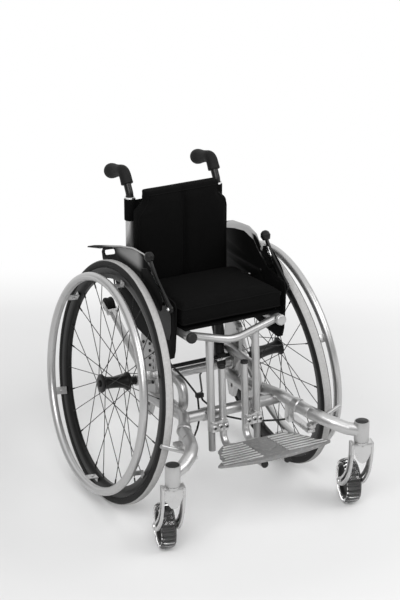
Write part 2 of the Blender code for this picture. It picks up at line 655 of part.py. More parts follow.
def cushion(width, length, height, crown, seam, cells=(12, 12)):
    """Closed pad: x across, y along, z from 0 to height; crowned face, drawn-in edges and a sewn centre channel."""
    nx, ny = cells
    work = bmesh.new()
    layers = []
    for level in (0, 1):
        rows = []
        for j in range(ny + 1):
            v = 2 * j / ny - 1
            v = math.copysign(1 - (1 - abs(v)) ** 1.25, v)
            row = []
            for i in range(nx + 1):
                u = 2 * i / nx - 1
                u = math.copysign(1 - (1 - abs(u)) ** 1.25, u)
                edge = max(abs(u) ** 9, abs(v) ** 9)
                groove = seam * math.exp(-(u * width(v) / 0.004) ** 2)
                inset = 0.0025 * edge
                x = u * (width(v) - inset)
                y = (v + 1) / 2 * length - v * inset
                rise = crown * (1 - u * u) * (1 - v * v)
                z = height * (0.10 * edge) if level == 0 else height - crown + rise - height * 0.12 * edge - groove
                row.append(work.verts.new((x, y, z)))
            rows.append(row)
        layers.append(rows)
    low, high = layers
    for j in range(ny):
        for i in range(nx):
            work.faces.new((high[j][i], high[j][i + 1], high[j + 1][i + 1], high[j + 1][i]))
            work.faces.new((low[j][i], low[j + 1][i], low[j + 1][i + 1], low[j][i + 1]))
    border = [(0, i) for i in range(nx)] + [(j, nx) for j in range(ny)] + [(ny, nx - i) for i in range(nx)] + [(ny - j, 0) for j in range(ny)]
    middle = []
    for j, i in border:
        a, b = low[j][i].co, high[j][i].co
        out = Vector((a.x / max(width(0), 0.01), 2 * a.y / length - 1, 0))
        middle.append(work.verts.new((a + b) / 2 + out.normalized() * 0.0030))
    for k, (j, i) in enumerate(border):
        j2, i2 = border[(k + 1) % len(border)]
        m1, m2 = middle[k], middle[(k + 1) % len(border)]
        work.faces.new((low[j][i], low[j2][i2], m2, m1))
        work.faces.new((m1, m2, high[j2][i2], high[j][i]))
    bmesh.ops.recalc_face_normals(work, faces=work.faces)
    mesh = bpy.data.meshes.new("cushion")
    work.to_mesh(mesh)
    work.free()
    return link_temp(mesh, "cushion")


def back_half_width(v):
    """Half width of the back pad: narrower above the shoulders so that it clears the push handles."""
    z = (v + 1) / 2
    blend = min(1.0, max(0.0, (z - 0.80) / 0.09))
    return 0.1255 - 0.0250 * blend * blend * (3 - 2 * blend)


def build_upholstery():
    place = seat_matrix()
    length = SEAT_REAR_Y - SEAT_FRONT_Y
    seat = cushion(lambda v: SEAT_HALF - 0.0030, length, SEAT_T, 0.0080, 0.0)
    seat.data.transform(place @ Matrix.Translation((0, 0.0, GAP)))
    finish(seat, "seat_cushion", FABRIC, None, 60)
    sheet = block((0.2500, length + 0.0250, SLING_T), (0, length / 2 + 0.0120, -SLING_T / 2 - GAP / 2), place)
    finish(sheet, "seat_sling", FABRIC)
    upright = Matrix.Translation((0, BACK_REAR_Y - 0.0010, BACK_LOW)) @ Matrix.Rotation(math.radians(90), 4, "X")
    back = cushion(back_half_width, BACK_HIGH - BACK_LOW, BACK_REAR_Y - BACK_FRONT_Y, 0.0080, 0.0050, (14, 12))
    back.data.transform(upright)
    finish(back, "back_cushion", FABRIC, (0, BACK_Y, BACK_PIVOT_Z), 60)


def build_back():
    pivot = (0, BACK_Y, BACK_PIVOT_Z)
    outer = [(0, 0.4570), (BACK_R, 0.4570), (BACK_R, 0.7157), (0.0120, 0.7160), (0.0120, TUBE_TOP), (0.0098, TUBE_TOP), (0.0098, 0.5500), (0, 0.5500)]
    post = turned(outer, (BACK_X, BACK_Y, 0), (0, 0, 1), 12)
    post = cut(post, rod((0.100, BACK_Y, BACK_PIVOT_Z), (0.130, BACK_Y, BACK_PIVOT_Z), 0.0043, 10))
    both(post, "back_tube", SILVER, (BACK_X, BACK_Y, BACK_PIVOT_Z))
    ring = [(BACK_R + GAP, 0.6620), (0.0136, 0.6620), (0.0136, 0.7155), (BACK_R + GAP, 0.7155)]
    sleeve = turned(ring, (BACK_X, BACK_Y, 0), (0, 0, 1), 12)
    sheet = block((0.2086, 0.0030, 0.1900), (0, BACK_Y, 0.6150))
    sling = union(sheet, mirrored(sleeve), sleeve)
    sling = cut(sling, rod((BACK_X, BACK_Y, 0.5), (BACK_X, BACK_Y, 0.72), BACK_R + GAP, 12), rod((-BACK_X, BACK_Y, 0.5), (-BACK_X, BACK_Y, 0.72), BACK_R + GAP, 12))
    finish(sling, "back_sling", FABRIC, pivot)


def handle_point(z):
    """Point on the part of the push handle that leans rearward above its bend."""
    return Vector((BACK_X, BACK_Y + (z - HANDLE_BEND) * HANDLE_LEAN, z))


def build_push_handles():
    pivot = (BACK_X, BACK_Y, TUBE_TOP)
    top = handle_point(0.7676)
    core = tube([(BACK_X, BACK_Y, 0.5850), handle_point(HANDLE_BEND), top], PUSH_R, 14, 0.0200, math.radians(10))
    both(core, "push_tube", BLACK_METAL, pivot)
    path = [handle_point(GRIP_LOW), handle_point(GRIP_CORNER), Vector((BACK_X, *GRIP_END))]
    grip = tube(path, GRIP_R, 12, 0.0300, math.radians(16))
    heading = path[2] - path[1]
    bulb = turned([(0, -0.0300), (GRIP_R, -0.0260), (0.0188, -0.0120), (0.0205, 0.0000), (0.0186, 0.0095), (0.0110, 0.0150), (0, 0.0170)], path[2], heading, 12)
    lean = (path[1] - path[0]).normalized()
    socket = rod(path[0] - lean * 0.0200, top + lean * GAP, PUSH_R + GAP, 14)
    both(cut(union(grip, bulb), socket), "push_grip", BLACK_RUBBER, pivot)


# side guards, wheel locks, cables
GUARD_X = 0.1435
GUARD_T = 0.0030
HAND_SLOT = (0.1285, 0.5735, 0.1795, 0.5530)
LEVER_X = 0.1535
LEVER_T = 0.0050
LEVER_PIVOT = (-0.1900, 0.5430)
KNOB = (-0.0850, 0.6340)
KNOB_R = 0.0125
WING = [
    (-0.075, [(GUARD_X, 0.590), (0.1445, 0.600), (0.1462, 0.606)]),
    (-0.048, [(GUARD_X, 0.612), (0.1460, 0.622), (0.1495, 0.628)]),
    (0.000, [(GUARD_X, 0.619), (0.1500, 0.6255), (0.1570, 0.629)]),
    (0.050, [(GUARD_X, 0.609), (0.1540, 0.614), (0.1645, 0.618)]),
    (0.100, [(GUARD_X, 0.594), (0.1600, 0.599), (0.1765, 0.604)]),
    (0.145, [(GUARD_X, 0.5800), (0.1660, 0.5850), (0.1890, 0.5905)]),
    (0.182, [(0.1560, 0.5660), (0.1700, 0.5700), (0.1900, 0.5755)]),
]


def guard_wing():
    """Strip lofted through the sections of WING, then thickened."""
    mesh = bpy.data.meshes.new("wing")
    verts = [(x, y, z) for y, section in WING for x, z in section]
    row = len(WING[0][1])
    faces = [(r * row + c, r * row + c + 1, (r + 1) * row + c + 1, (r + 1) * row + c) for r in range(len(WING) - 1) for c in range(row - 1)]
    mesh.from_pydata(verts, [], faces)
    made = link_temp(mesh, "wing")
    thick = made.modifiers.new("thick", "SOLIDIFY")
    thick.thickness, thick.offset = GUARD_T, 0
    return baked(made)


def guard():
    top = [(y, section[0][1] + 0.0015) for y, section in WING[:-1]]
    front = [(-0.110, 0.568), (-0.165, 0.560), (-0.196, 0.558), (-0.203, 0.546), (-0.202, 0.500), (-0.197, 0.440), (-0.190, 0.418), (-0.172, 0.408)]
    low = [(-0.100, 0.410), (0.040, 0.425), (0.090, 0.452), (0.122, 0.500), (0.160, 0.512), (0.194, 0.532), (0.199, 0.550), (0.190, 0.563)]
    hand_slot = slot_ring(*HAND_SLOT, 0.0062)
    panel = plate(top[::-1] + front + low, GUARD_T, (GUARD_X, 0, 0), (0, 1, 0), (0, 0, 1), [hand_slot])
    pin = rod((GUARD_X, *LEVER_PIVOT), (LEVER_X + 0.0035, *LEVER_PIVOT), 0.0038, 10)
    studs = [rod((GUARD_X - 0.0050, y, z), (GUARD_X, y, z), 0.0050, 8) for y, z in ((-0.030, 0.517), (-0.085, 0.547))]
    return union(panel, guard_wing(), pin, merged(studs))


def lock_lever():
    path = [LEVER_PIVOT, (-0.1560, 0.5660), (-0.1190, 0.5930), (-0.1010, 0.6130), (KNOB[0] - 0.004, KNOB[1] - 0.006)]
    arm = plate(strap(path, 0.0190, 0.0090), LEVER_T, (LEVER_X, 0, 0), (0, 1, 0), (0, 0, 1))
    boss = rod((LEVER_X - LEVER_T / 2 - 0.0010, *LEVER_PIVOT), (LEVER_X + LEVER_T / 2, *LEVER_PIVOT), 0.0105, 14)
    knob = turned([(0, -KNOB_R), (0.0090, -0.0095), (KNOB_R, 0), (0.0100, 0.0085), (0.0055, 0.0125), (0, 0.0135)], (LEVER_X, *KNOB), (0, 0.55, 0.83), 12)
    hole = rod((LEVER_X - 0.01, *LEVER_PIVOT), (LEVER_X + 0.01, *LEVER_PIVOT), 0.0041, 10)
    return cut(union(arm, boss, knob), hole)


SHOE_PIVOT = Vector((0.1600, -0.3060, 0.2275))
SHOE_BAR = Vector((0.9030, -0.0200, 0.4290)).normalized()
SHOE_AXIS = Vector((-0.4290, 0, 0.9030)).normalized()
SHOE_REACH = 0.0850
SHOE_R = 0.0050


def brake_unit():
    arm = block((0.0190, 0.0920, 0.0080), (0.1555, -0.2700, 0.2180))
    post = block((0.0150, 0.0200, 0.0480), (0.1420, -0.2330, 0.2380))
    body = union(arm, post)
    seat = rod(SHOE_PIVOT - SHOE_AXIS * 0.0058, SHOE_PIVOT + SHOE_AXIS * 0.04, 0.0103, 14)
    grown = tube([MEMBER_END - MEMBER_DIR * 0.0183, MEMBER_END + MEMBER_DIR * 0.0003], COLLAR_R + GAP, 18)
    body = cut(body, seat, member_tube(SIDE_R + GAP), grown)
    return union(body, rod(SHOE_PIVOT - SHOE_AXIS * 0.0100, SHOE_PIVOT + SHOE_AXIS * 0.0075, 0.0038, 10))


def brake_shoe():
    boss = rod(SHOE_PIVOT - SHOE_AXIS * 0.0055, SHOE_PIVOT + SHOE_AXIS * 0.0055, 0.0098, 14)
    bar = rod(SHOE_PIVOT + SHOE_BAR * 0.0060, SHOE_PIVOT + SHOE_BAR * SHOE_REACH, SHOE_R, 10)
    hole = rod(SHOE_PIVOT - SHOE_AXIS * 0.02, SHOE_PIVOT + SHOE_AXIS * 0.02, 0.0041, 10)
    return cut(union(boss, bar), hole)


CABLE_R = 0.0024
CABLE_A = [(-0.1395, -0.186, 0.530), (-0.1362, -0.180, 0.500), (-0.1355, -0.155, 0.462), (-0.1335, -0.120, 0.425), (-0.1230, -0.100, 0.388), (-0.1070, -0.100, 0.359), (-0.0800, -0.125, 0.322)]
CABLE_A += [(-0.0610, -0.148, 0.289), (-0.0580, -0.150, 0.250), (-0.0620, -0.157, 0.222), (-0.0760, -0.175, 0.214), (-0.0980, -0.205, 0.216), (-0.1200, -0.228, 0.2185), (-0.1318, -0.230, 0.2185)]
CABLE_B = [(0.1395, -0.186, 0.530), (0.1362, -0.180, 0.500), (0.1355, -0.155, 0.462), (0.1335, -0.115, 0.425), (0.1180, -0.075, 0.388), (0.1020, -0.035, 0.362), (0.0965, 0.005, 0.352), (0.0960, 0.036, 0.336)]
CABLE_B += [(0.0850, 0.040, 0.292), (0.0330, 0.022, 0.254), (-0.0140, -0.080, 0.262), (-0.0440, -0.138, 0.292), (-0.0520, -0.149, 0.291), (-0.0500, -0.152, 0.276), (-0.0150, -0.150, 0.240), (0.0190, -0.150, 0.216)]
CABLE_B += [(0.0500, -0.165, 0.208), (0.0880, -0.200, 0.211), (0.1180, -0.228, 0.2185), (0.1318, -0.230, 0.2185)]


def build_cables():
    path_a, path_b = CABLE_A, CABLE_B
    clip = block((0.0190, 0.0120, 0.0110), (-0.0560, -0.1490, 0.2880))
    first = union(tube(path_a, CABLE_R, 6, 0.012, math.radians(45)), clip)
    first = cut(first, tube(path_b, CABLE_R + GAP, 6, 0.012, math.radians(45)))
    finish(first, "brake_cable_r", BLACK_PLASTIC)
    finish(tube(path_b, CABLE_R, 6, 0.012, math.radians(45)), "brake_cable_l", BLACK_PLASTIC)


def build_locks():
    both(guard(), "side_guard", BLACK_PLASTIC)
    both(lock_lever(), "lock_lever", BLACK_METAL, (LEVER_X, *LEVER_PIVOT))
    both(brake_unit(), "brake_unit", BLACK_METAL)
    both(brake_shoe(), "brake_shoe", SILVER, SHOE_PIVOT)


# anti-tip arm on the user's right
TIP_X = -0.1135
TIP_REACH = 0.2120
TIP_ANGLE = math.radians(28.7)
TIP_DIR = Vector((0, math.cos(TIP_ANGLE), math.sin(TIP_ANGLE)))


def tip_point(reach, dx=0.0):
    return Vector((TIP_X + dx, TIP_Y, TIP_Z)) + TIP_DIR * reach


def build_antitip():
    turn = Matrix.Translation((TIP_X, TIP_Y, TIP_Z)) @ Matrix.Rotation(TIP_ANGLE, 4, "X")
    cheeks = [block((0.0030, 0.0230, 0.0180), (dx, 0.0085, 0), turn) for dx in (-0.0067, 0.0067)]
    knuckle = block((0.0156, 0.0090, 0.0170), (0, 0.0175, 0), turn)
    stem = rod(tip_point(0.0200), tip_point(0.1900), 0.0090, 14)
    yoke = block((0.0272, 0.0070, 0.0150), (0, 0.1870, 0), turn)
    fork = [block((0.0026, 0.0340, 0.0120), (dx, 0.2010, 0), turn) for dx in (-0.0127, 0.0127)]
    pins = merged([rod(tip_point(0, -0.0072), tip_point(0, 0.0072), 0.0040, 10), rod(tip_point(TIP_REACH, -0.0130), tip_point(TIP_REACH, 0.0130), 0.0030, 8)])
    arm = union(stem, knuckle, *cheeks, yoke, *fork)
    arm = union(arm, pins)
    finish(arm, "antitip_arm", SILVER, (TIP_X, TIP_Y, TIP_Z))
    half = [(0.0033, 0.0110), (0.0150, 0.0110), (0.0180, 0.0090), (0.0180, 0.0050), (0.0165, 0.0040), (0.0165, 0.0015)]
    roller = turned(ring_profile(half[::-1]), tip_point(TIP_REACH), (1, 0, 0), 14)
    finish(roller, "antitip_roller", BLACK_RUBBER, tuple(tip_point(TIP_REACH)))


build_rear_wheel()
build_handrim()
build_caster(1, "l")
build_caster(-1, "r")
build_axle_tube()
build_side_frames()
build_cross_tube()
build_caster_arm()
build_foot_end()
build_footplate()
build_seat_frame()
build_upholstery()
build_back()
build_push_handles()
build_locks()
build_cables()
build_antitip()
for leftover in list(CUTTERS.objects):
    bpy.data.objects.remove(leftover, do_unlink=True)
bpy.data.collections.remove(CUTTERS)
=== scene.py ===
"""Looks of the active wheelchair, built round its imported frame.

Metres, +Z up, front toward -Y, user's right at -X (_r).
"""
import json
import bpy
from math import atan, atan2, ceil, copysign, cos, degrees, exp, pi, radians, sin, tan
from mathutils import Matrix, Vector


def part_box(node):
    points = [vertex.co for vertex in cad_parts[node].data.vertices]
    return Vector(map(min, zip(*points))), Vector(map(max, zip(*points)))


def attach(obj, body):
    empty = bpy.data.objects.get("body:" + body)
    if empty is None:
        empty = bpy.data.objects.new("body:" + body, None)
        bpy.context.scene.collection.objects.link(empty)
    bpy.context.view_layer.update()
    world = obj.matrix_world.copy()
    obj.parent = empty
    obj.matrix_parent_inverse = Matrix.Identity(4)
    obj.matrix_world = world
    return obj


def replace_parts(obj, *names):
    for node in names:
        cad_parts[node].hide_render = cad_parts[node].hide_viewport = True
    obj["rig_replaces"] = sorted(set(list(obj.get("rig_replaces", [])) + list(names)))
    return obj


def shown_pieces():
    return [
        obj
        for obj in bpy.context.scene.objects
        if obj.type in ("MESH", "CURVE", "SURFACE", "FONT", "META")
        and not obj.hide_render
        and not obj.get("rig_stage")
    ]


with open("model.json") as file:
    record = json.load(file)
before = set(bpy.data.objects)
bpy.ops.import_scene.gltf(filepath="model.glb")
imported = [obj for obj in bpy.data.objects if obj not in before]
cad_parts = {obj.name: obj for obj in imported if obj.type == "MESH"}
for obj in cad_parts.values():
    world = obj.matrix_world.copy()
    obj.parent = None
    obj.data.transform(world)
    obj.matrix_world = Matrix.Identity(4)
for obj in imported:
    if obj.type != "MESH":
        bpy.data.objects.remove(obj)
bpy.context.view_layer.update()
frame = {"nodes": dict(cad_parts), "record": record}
# from the chair's own frame, with the rear axle at y 0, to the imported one
SHIFT = Vector((-0.00134, 0.07571, 0))
SIDES = ((1, "l"), (-1, "r"))

# picture
EYE = Vector((-2.18820716, -4.27885282, 2.45988737)) + SHIFT
AIM = Vector((-0.0294, -0.1, 0.5091)) + SHIFT
LENS = 129.7056
INTO_PICTURE, ACROSS_PICTURE = (0.459, 0.888, 0), (0.888, -0.459, 0)
AMBIENT = 0.80
LAMPS = [((-1.9, -3.0, 3.2), 2.4, 106), ((2.4, -2.2, 2.8), 2.4, 52)]

# rear wheel, in its own frame: x up, y rearward, z out along the axle
CAMBER = radians(6.78)
TYRE_RADIUS, CONTACT_OUT = 0.295, 0.004
WHEEL = Vector((0.2106, 0, TYRE_RADIUS * cos(CAMBER) + CONTACT_OUT * sin(CAMBER)))
WHEEL_STEPS = 144
SPOKES = 28
TABS = 6
TAB_FIRST = radians(56)
HANDRIM_RADIUS, HANDRIM_OUT, HANDRIM_TUBE = 0.2575, 0.0480, 0.0102

# caster, in its own frame: swivel axis at the origin, trail along +Y
CASTER = Vector((0.2483, -0.3898, 0))
CASTER_TURN = radians(14.5)
TRAIL, ROLL = 0.0905, 0.0550
LEG_IN, LEG_WALL = 0.0215, 0.0050
HOUSE_LOW, HOUSE_TOP = 2055, 2565  # tenths of a millimetre

# footrest
HANGER_X, HANGER_LOW = 0.0605, 0.1760
CLAMP_LOW, CLAMP_HIGH = 0.2268, 0.2536
CLAMP_FACE = -0.2380
CLAMP_BOLTS = [(0.0300, 0.2398), (0.0453, 0.2416), (HANGER_X, 0.2398)]
FOOT_X, FOOT_FRONT, FOOT_SLOPE = 0.0300, -0.4250, 0.1100
FOOT_HINGE = Vector((0, -0.3020, 0.2130))
PLATE_MIDDLE, PLATE_HALF = 0.0135, 0.0025
PLATE_TILT = atan(FOOT_SLOPE)
PLATE_UP = (0, sin(PLATE_TILT), cos(PLATE_TILT))
PLATE_LEVEL = Vector(PLATE_UP).dot(FOOT_HINGE + SHIFT) + PLATE_MIDDLE + PLATE_HALF
PAD_CENTRE = Vector((0, -0.3656, 0.2360)) + SHIFT  # of the plate's round centre, which has no ribs

# seat, back and handles
AXLE_PLATE_IN, AXLE_PLATE_OUT = 0.1090, 0.1180
HOLES_Y, HOLE_TOP, HOLE_PITCH = -0.028, 0.380, 0.0187
SEAT_SLOPE = 0.0870
BACK_LINE = Vector((0.1165, 0.0950, 0))
SPAN = 0.1043
HANDLE_BEND, HANDLE_TOP, HANDLE_LEAN = 0.7265, 0.7676, 0.6200
GRIP_LOW, GRIP_CORNER, GRIP_END = 0.7475, 0.7759, (0.1950, 0.7540)
GRIP_R, GRIP_CAP = 0.0144, 0.0168
CABLE_R = 0.0024


def tenths(*points):
    """Points given in tenths of a millimetre, as metres."""
    return [tuple(number / 10000 for number in point) for point in points]


# each cable's line, from its lever to its brake
CABLES = {
    "r": tenths(
        (-1395, -1860, 5300), (-1362, -1800, 5000), (-1355, -1550, 4620), (-1335, -1200, 4250),
        (-1230, -1000, 3880), (-1070, -1000, 3590), (-800, -1250, 3220), (-610, -1480, 2890),
        (-580, -1500, 2500), (-620, -1570, 2220), (-760, -1750, 2140), (-980, -2050, 2160),
        (-1200, -2280, 2185), (-1318, -2300, 2185)),
    "l": tenths(
        (1395, -1860, 5300), (1362, -1800, 5000), (1355, -1550, 4620), (1335, -1150, 4250),
        (1180, -750, 3880), (1020, -350, 3620), (965, 50, 3520), (960, 360, 3360), (850, 400, 2920),
        (330, 220, 2540), (-140, -800, 2620), (-440, -1380, 2920), (-520, -1490, 2910),
        (-500, -1520, 2760), (-150, -1500, 2400), (190, -1500, 2160), (500, -1650, 2080),
        (880, -2000, 2110), (1180, -2280, 2185), (1318, -2300, 2185)),
}


class Wire:
    """A value in a node tree that takes part in ordinary arithmetic."""

    def __init__(self, finish, socket):
        self.finish, self.socket = finish, socket

    def pair(self, operation, first, second=0.0):
        return self.finish.node("ShaderNodeMath", {"operation": operation}, {0: first, 1: second})

    def __add__(self, other):
        return self.pair("ADD", self, other)

    __radd__ = __add__

    def __mul__(self, other):
        return self.pair("MULTIPLY", self, other)

    __rmul__ = __mul__

    def __sub__(self, other):
        return self.pair("SUBTRACT", self, other)

    def __rsub__(self, other):
        return self.pair("SUBTRACT", other, self)

    def __truediv__(self, other):
        return self.pair("DIVIDE", self, other)

    def larger(self, other):
        return self.pair("MAXIMUM", self, other)

    def above(self, edge, soft):
        """0 below the edge, 1 above it, with a soft step."""
        steps = {"interpolation_type": "SMOOTHSTEP"}
        return self.finish.node("ShaderNodeMapRange", steps, {0: self, 1: edge - soft, 2: edge + soft})


class Tree:
    """The node tree of a material or of the world."""

    def __init__(self, owner):
        owner.use_nodes = True
        self.tree = owner.node_tree

    def node(self, kind, settings, sockets, output=0):
        made = self.tree.nodes.new(kind)
        for name, value in settings.items():
            setattr(made, name, value)
        for name, value in sockets.items():
            if isinstance(value, Wire):
                self.tree.links.new(value.socket, made.inputs[name])
            else:
                made.inputs[name].default_value = value
        return Wire(self, made.outputs[output])

    def vector(self, operation, first, second=(0, 0, 0)):
        """A vector sum or product, or the number of a dot product, length or distance."""
        output = 0 if operation in ("SUBTRACT", "MULTIPLY") else 1
        sockets = {0: first, 1: tuple(second)}
        return self.node("ShaderNodeVectorMath", {"operation": operation}, sockets, output)

    def coordinate(self, kind):
        return self.node("ShaderNodeTexCoord", {}, {}, kind)

    def split(self, vector):
        """The x, y and z of a vector."""
        made = self.node("ShaderNodeSeparateXYZ", {}, {0: vector}).socket.node
        return [Wire(self, socket) for socket in made.outputs]

    def rays(self):
        """1 or 0 for whether a ray is the camera's own, a reflected or a refracted one."""
        kinds = ("Camera", "Glossy", "Transmission")
        return [self.node("ShaderNodeLightPath", {}, {}, f"Is {kind} Ray") for kind in kinds]


class Finish(Tree):
    """A Principled material whose patterns read Object coordinates."""

    def __init__(self, name, **steady):
        self.material = bpy.data.materials.new(name)
        super().__init__(self.material)
        self.shader = self.tree.nodes["Principled BSDF"]
        for socket, value in steady.items():
            self.shader.inputs[socket.replace("_", " ")].default_value = value
        self.place = self.coordinate("Object")

    def noise(self, scale, detail=3.0, stretch=None):
        at = self.vector("MULTIPLY", self.place, stretch) if stretch else self.place
        return self.node("ShaderNodeTexNoise", {}, {"Vector": at, "Scale": scale, "Detail": detail})

    def mix(self, share, first, second):
        return self.node("ShaderNodeMix", {"data_type": "RGBA"}, {0: share, 6: first, 7: second}, 2)

    def coat(self, tone, rough, height, depth, strength):
        """Gives the shader its colour and roughness, and the relief of a height pattern."""
        sockets = {"Height": height, "Distance": depth, "Strength": strength}
        relief = self.node("ShaderNodeBump", {}, sockets)
        for name, wire in (("Base Color", tone), ("Roughness", rough), ("Normal", relief)):
            self.tree.links.new(wire.socket, self.shader.inputs[name])
        return self.material


def grey(value, warm=0.0):
    return (value * (1 + warm), value, value * (1 - warm), 1.0)


def set_camera():
    bpy.ops.object.camera_add(location=EYE)
    eye = bpy.context.object
    eye.rotation_euler = (AIM - EYE).to_track_quat("-Z", "Y").to_euler()
    eye.data.sensor_width = 36
    eye.data.lens = LENS
    eye.data.clip_end = 60
    bpy.context.scene.camera = eye
    bpy.context.scene.view_settings.view_transform = "Standard"


def lay_floor():
    """Pale sweep with the chair's shadow and painted light and shade: a painted fall-off from darker in front
    to lighter far behind, painted shade greying it toward the picture's left, painted light round the chair
    lifting its shadow, white far off.
    """
    bpy.ops.mesh.primitive_plane_add(size=60, location=(0, 0, -0.0002))
    floor = bpy.context.object
    floor.name = "floor"
    floor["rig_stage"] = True
    sweep = Finish("sweep", Roughness=0.9, Specular_IOR_Level=0.1)
    from_chair = sweep.vector("SUBTRACT", sweep.place, SHIFT)
    reach = sweep.vector("LENGTH", from_chair)
    behind = sweep.vector("DOT_PRODUCT", from_chair, INTO_PICTURE)
    beside = sweep.vector("DOT_PRODUCT", from_chair, ACROSS_PICTURE)
    # painted light and shade: the floor's tone ramps from darker in front to lighter far behind, standing in
    # for the fall-off of the studio light
    tone = sweep.node("ShaderNodeValToRGB", {}, {0: (behind + 0.7) / 2.1})
    stops = [(0.05, 0.77), (0.18, 0.77), (0.33, 0.78), (0.48, 0.79), (0.62, 0.82), (0.76, 0.86), (0.88, 0.94)]
    ramp = tone.socket.node.color_ramp.elements
    while len(ramp) < len(stops):
        ramp.new(0.5)
    for stop, (at, level) in zip(ramp, stops):
        stop.position, stop.color = at, grey(level)
    # painted shade: the floor is greyed by about a tenth, more toward the picture's left
    floor_with_painted_side_shade = sweep.mix(0.12 - beside * 0.04, tone, grey(0))
    # painted light: within about half a metre of the chair the floor is lightened toward 0.93, lifting the
    # chair's shadow
    near = (1 - reach.above(0.42, 0.20)) * 0.75
    tone = sweep.mix(near, floor_with_painted_side_shade, grey(0.93))
    sweep.tree.links.new(tone.socket, sweep.shader.inputs["Base Color"])
    camera, glossy, through = sweep.rays()
    white = reach.above(1.8, 0.4).larger(behind.above(1.20, 0.20))
    glow = sweep.node("ShaderNodeEmission", {}, {"Color": (1, 1, 1, 1), "Strength": 1.0})
    seen = camera.larger(glossy.larger(through))
    blend = sweep.node("ShaderNodeMixShader", {}, {0: seen * white, 2: glow})
    sweep.tree.links.new(sweep.shader.outputs[0], blend.socket.node.inputs[1])
    sweep.tree.links.new(blend.socket, sweep.tree.nodes["Material Output"].inputs[0])
    floor.data.materials.append(sweep.material)


def light_room():
    """White room, bright overhead and behind the chair, dimmer low down at the sides as if flagged off."""
    room = bpy.data.worlds.new("room")
    bpy.context.scene.world = room
    sky = Tree(room)
    way = sky.coordinate("Generated")
    height = sky.split(way)[2]
    behind = sky.vector("DOT_PRODUCT", way, INTO_PICTURE)
    shine = 0.20 + 0.80 * height.above(0.50, 0.30).larger(behind.above(0.55, 0.20))
    camera, glossy, through = sky.rays()
    seen = camera.larger(through)
    level = AMBIENT * (1 - glossy) * (1 - seen) + shine * glossy + seen
    back = room.node_tree.nodes["Background"]
    back.inputs["Color"].default_value = (1, 1, 1, 1)
    sky.tree.links.new(level.socket, back.inputs["Strength"])
    for place, size, power in LAMPS:
        bpy.ops.object.light_add(type="AREA", location=place)
        lamp = bpy.context.object
        lamp.data.size, lamp.data.energy = size, power
        lamp.rotation_euler = (Vector((0, 0, 0.3)) - Vector(place)).to_track_quat("-Z", "Y").to_euler()


# finishes
def silver_paint():
    paint = Finish("silver_paint", Metallic=0.85, Coat_Roughness=0.12)
    flake = paint.noise(2600, 1.0)
    cloud = paint.noise(14)
    scuff = paint.noise(70, 4.0, (1, 1, 5)).above(0.69, 0.02)
    tone = paint.mix(flake * 0.5 + cloud * 0.35, grey(0.44, 0.004), grey(0.58, 0.002))
    tone = paint.mix(scuff * 0.35, tone, grey(0.30, 0.01))
    return paint.coat(tone, 0.30 + flake * 0.10 + scuff * 0.22, paint.noise(420, 2.0), 0.00010, 0.5)


def polished_steel():
    steel = Finish("polished_steel", Metallic=1.0)
    haze = steel.noise(38, 4.0)
    hair = steel.noise(900, 2.0, (1, 1, 0.05))
    tone = steel.mix(haze, grey(0.78 * 0.92), grey(0.78))
    return steel.coat(tone, 0.10 + haze * 0.10 + hair * 0.05, hair, 0.00003, 0.4)


def black_anodised():
    skin = Finish("black_anodised", Metallic=0.55)
    grain = skin.noise(1500, 2.0)
    cloud = skin.noise(22)
    rub = skin.noise(120, 4.0, (1, 1, 3)).above(0.70, 0.03)
    tone = skin.mix(cloud * 0.5 + rub * 0.3, grey(0.007), grey(0.022, 0.02))
    return skin.coat(tone, 0.28 + grain * 0.16, grain, 0.00004, 0.6)


def black_plastic():
    moulded = Finish("black_plastic", Specular_IOR_Level=0.35)
    cells = moulded.node("ShaderNodeTexVoronoi", {}, {"Vector": moulded.place, "Scale": 900.0}, "Distance")
    tone = moulded.mix(moulded.noise(18), grey(0.005), grey(0.012, 0.01))
    return moulded.coat(tone, 0.38 + cells * 0.18, cells, 0.00010, 0.7)


def soft_rubber():
    rubber = Finish("soft_black_rubber", Specular_IOR_Level=0.24)
    pores = rubber.noise(1400)
    dust = rubber.noise(30, 4.0).above(0.55, 0.20)
    tone = rubber.mix(dust * 0.6, grey(0.004), grey(0.010, 0.02))
    return rubber.coat(tone, 0.58 + pores * 0.22, pores, 0.00012, 0.8)


def tyre_rubber(name, centre, axle):
    """Black walls and a pale grey tread band; radius and height are measured in the wheel's own frame."""
    rubber = Finish(name, Specular_IOR_Level=0.25)
    offset = rubber.vector("SUBTRACT", rubber.place, centre)
    out = rubber.vector("DOT_PRODUCT", offset, axle)
    height = out.pair("ABSOLUTE", out)
    reach = rubber.vector("LENGTH", offset)
    wander = (rubber.noise(40) - 0.5) * 0.0010
    band = (1 - (height + wander).above(0.0092, 0.0005)) * reach.above(0.2895, 0.0006)
    dirt = rubber.noise(160, 4.0)
    tread = rubber.mix(dirt, grey(0.30, 0.01), grey(0.46, 0.01))
    wall = rubber.mix(dirt, grey(0.005), grey(0.013, 0.02))
    tone = rubber.mix(band, wall, tread)
    grain = rubber.noise(1600, 2.0)
    rings = reach.pair("SINE", reach * 2400)
    relief = grain + rings * (1 - band) * 0.5
    return rubber.coat(tone, 0.55 + grain * 0.2 + band * 0.1, relief, 0.00012, 0.8)


def woven_cloth(name, level=0.0020):
    """Plain weave of about 1 mm, from Object coordinates, with worn, paler threads."""
    cloth = Finish(name, Specular_IOR_Level=0.08)
    x, y, z = cloth.split(cloth.place)
    upward = cloth.split(cloth.coordinate("Normal"))[2]
    flat = upward.pair("ABSOLUTE", upward).above(0.6, 0.1)
    run = y * flat + z * (1 - flat)
    pitch = 2 * pi / 0.0011
    weave = x.pair("SINE", x * pitch) * run.pair("SINE", run * pitch)
    wear = cloth.noise(26, 4.0)
    fibre = cloth.noise(2200, 2.0)
    share = weave * 0.25 + fibre * 0.3 + wear * 0.4
    tone = cloth.mix(share, grey(level * 0.55), grey(level * 1.9, 0.01))
    return cloth.coat(tone, 0.80 + fibre * 0.15, weave * 0.5 + fibre, 0.00022, 0.8)


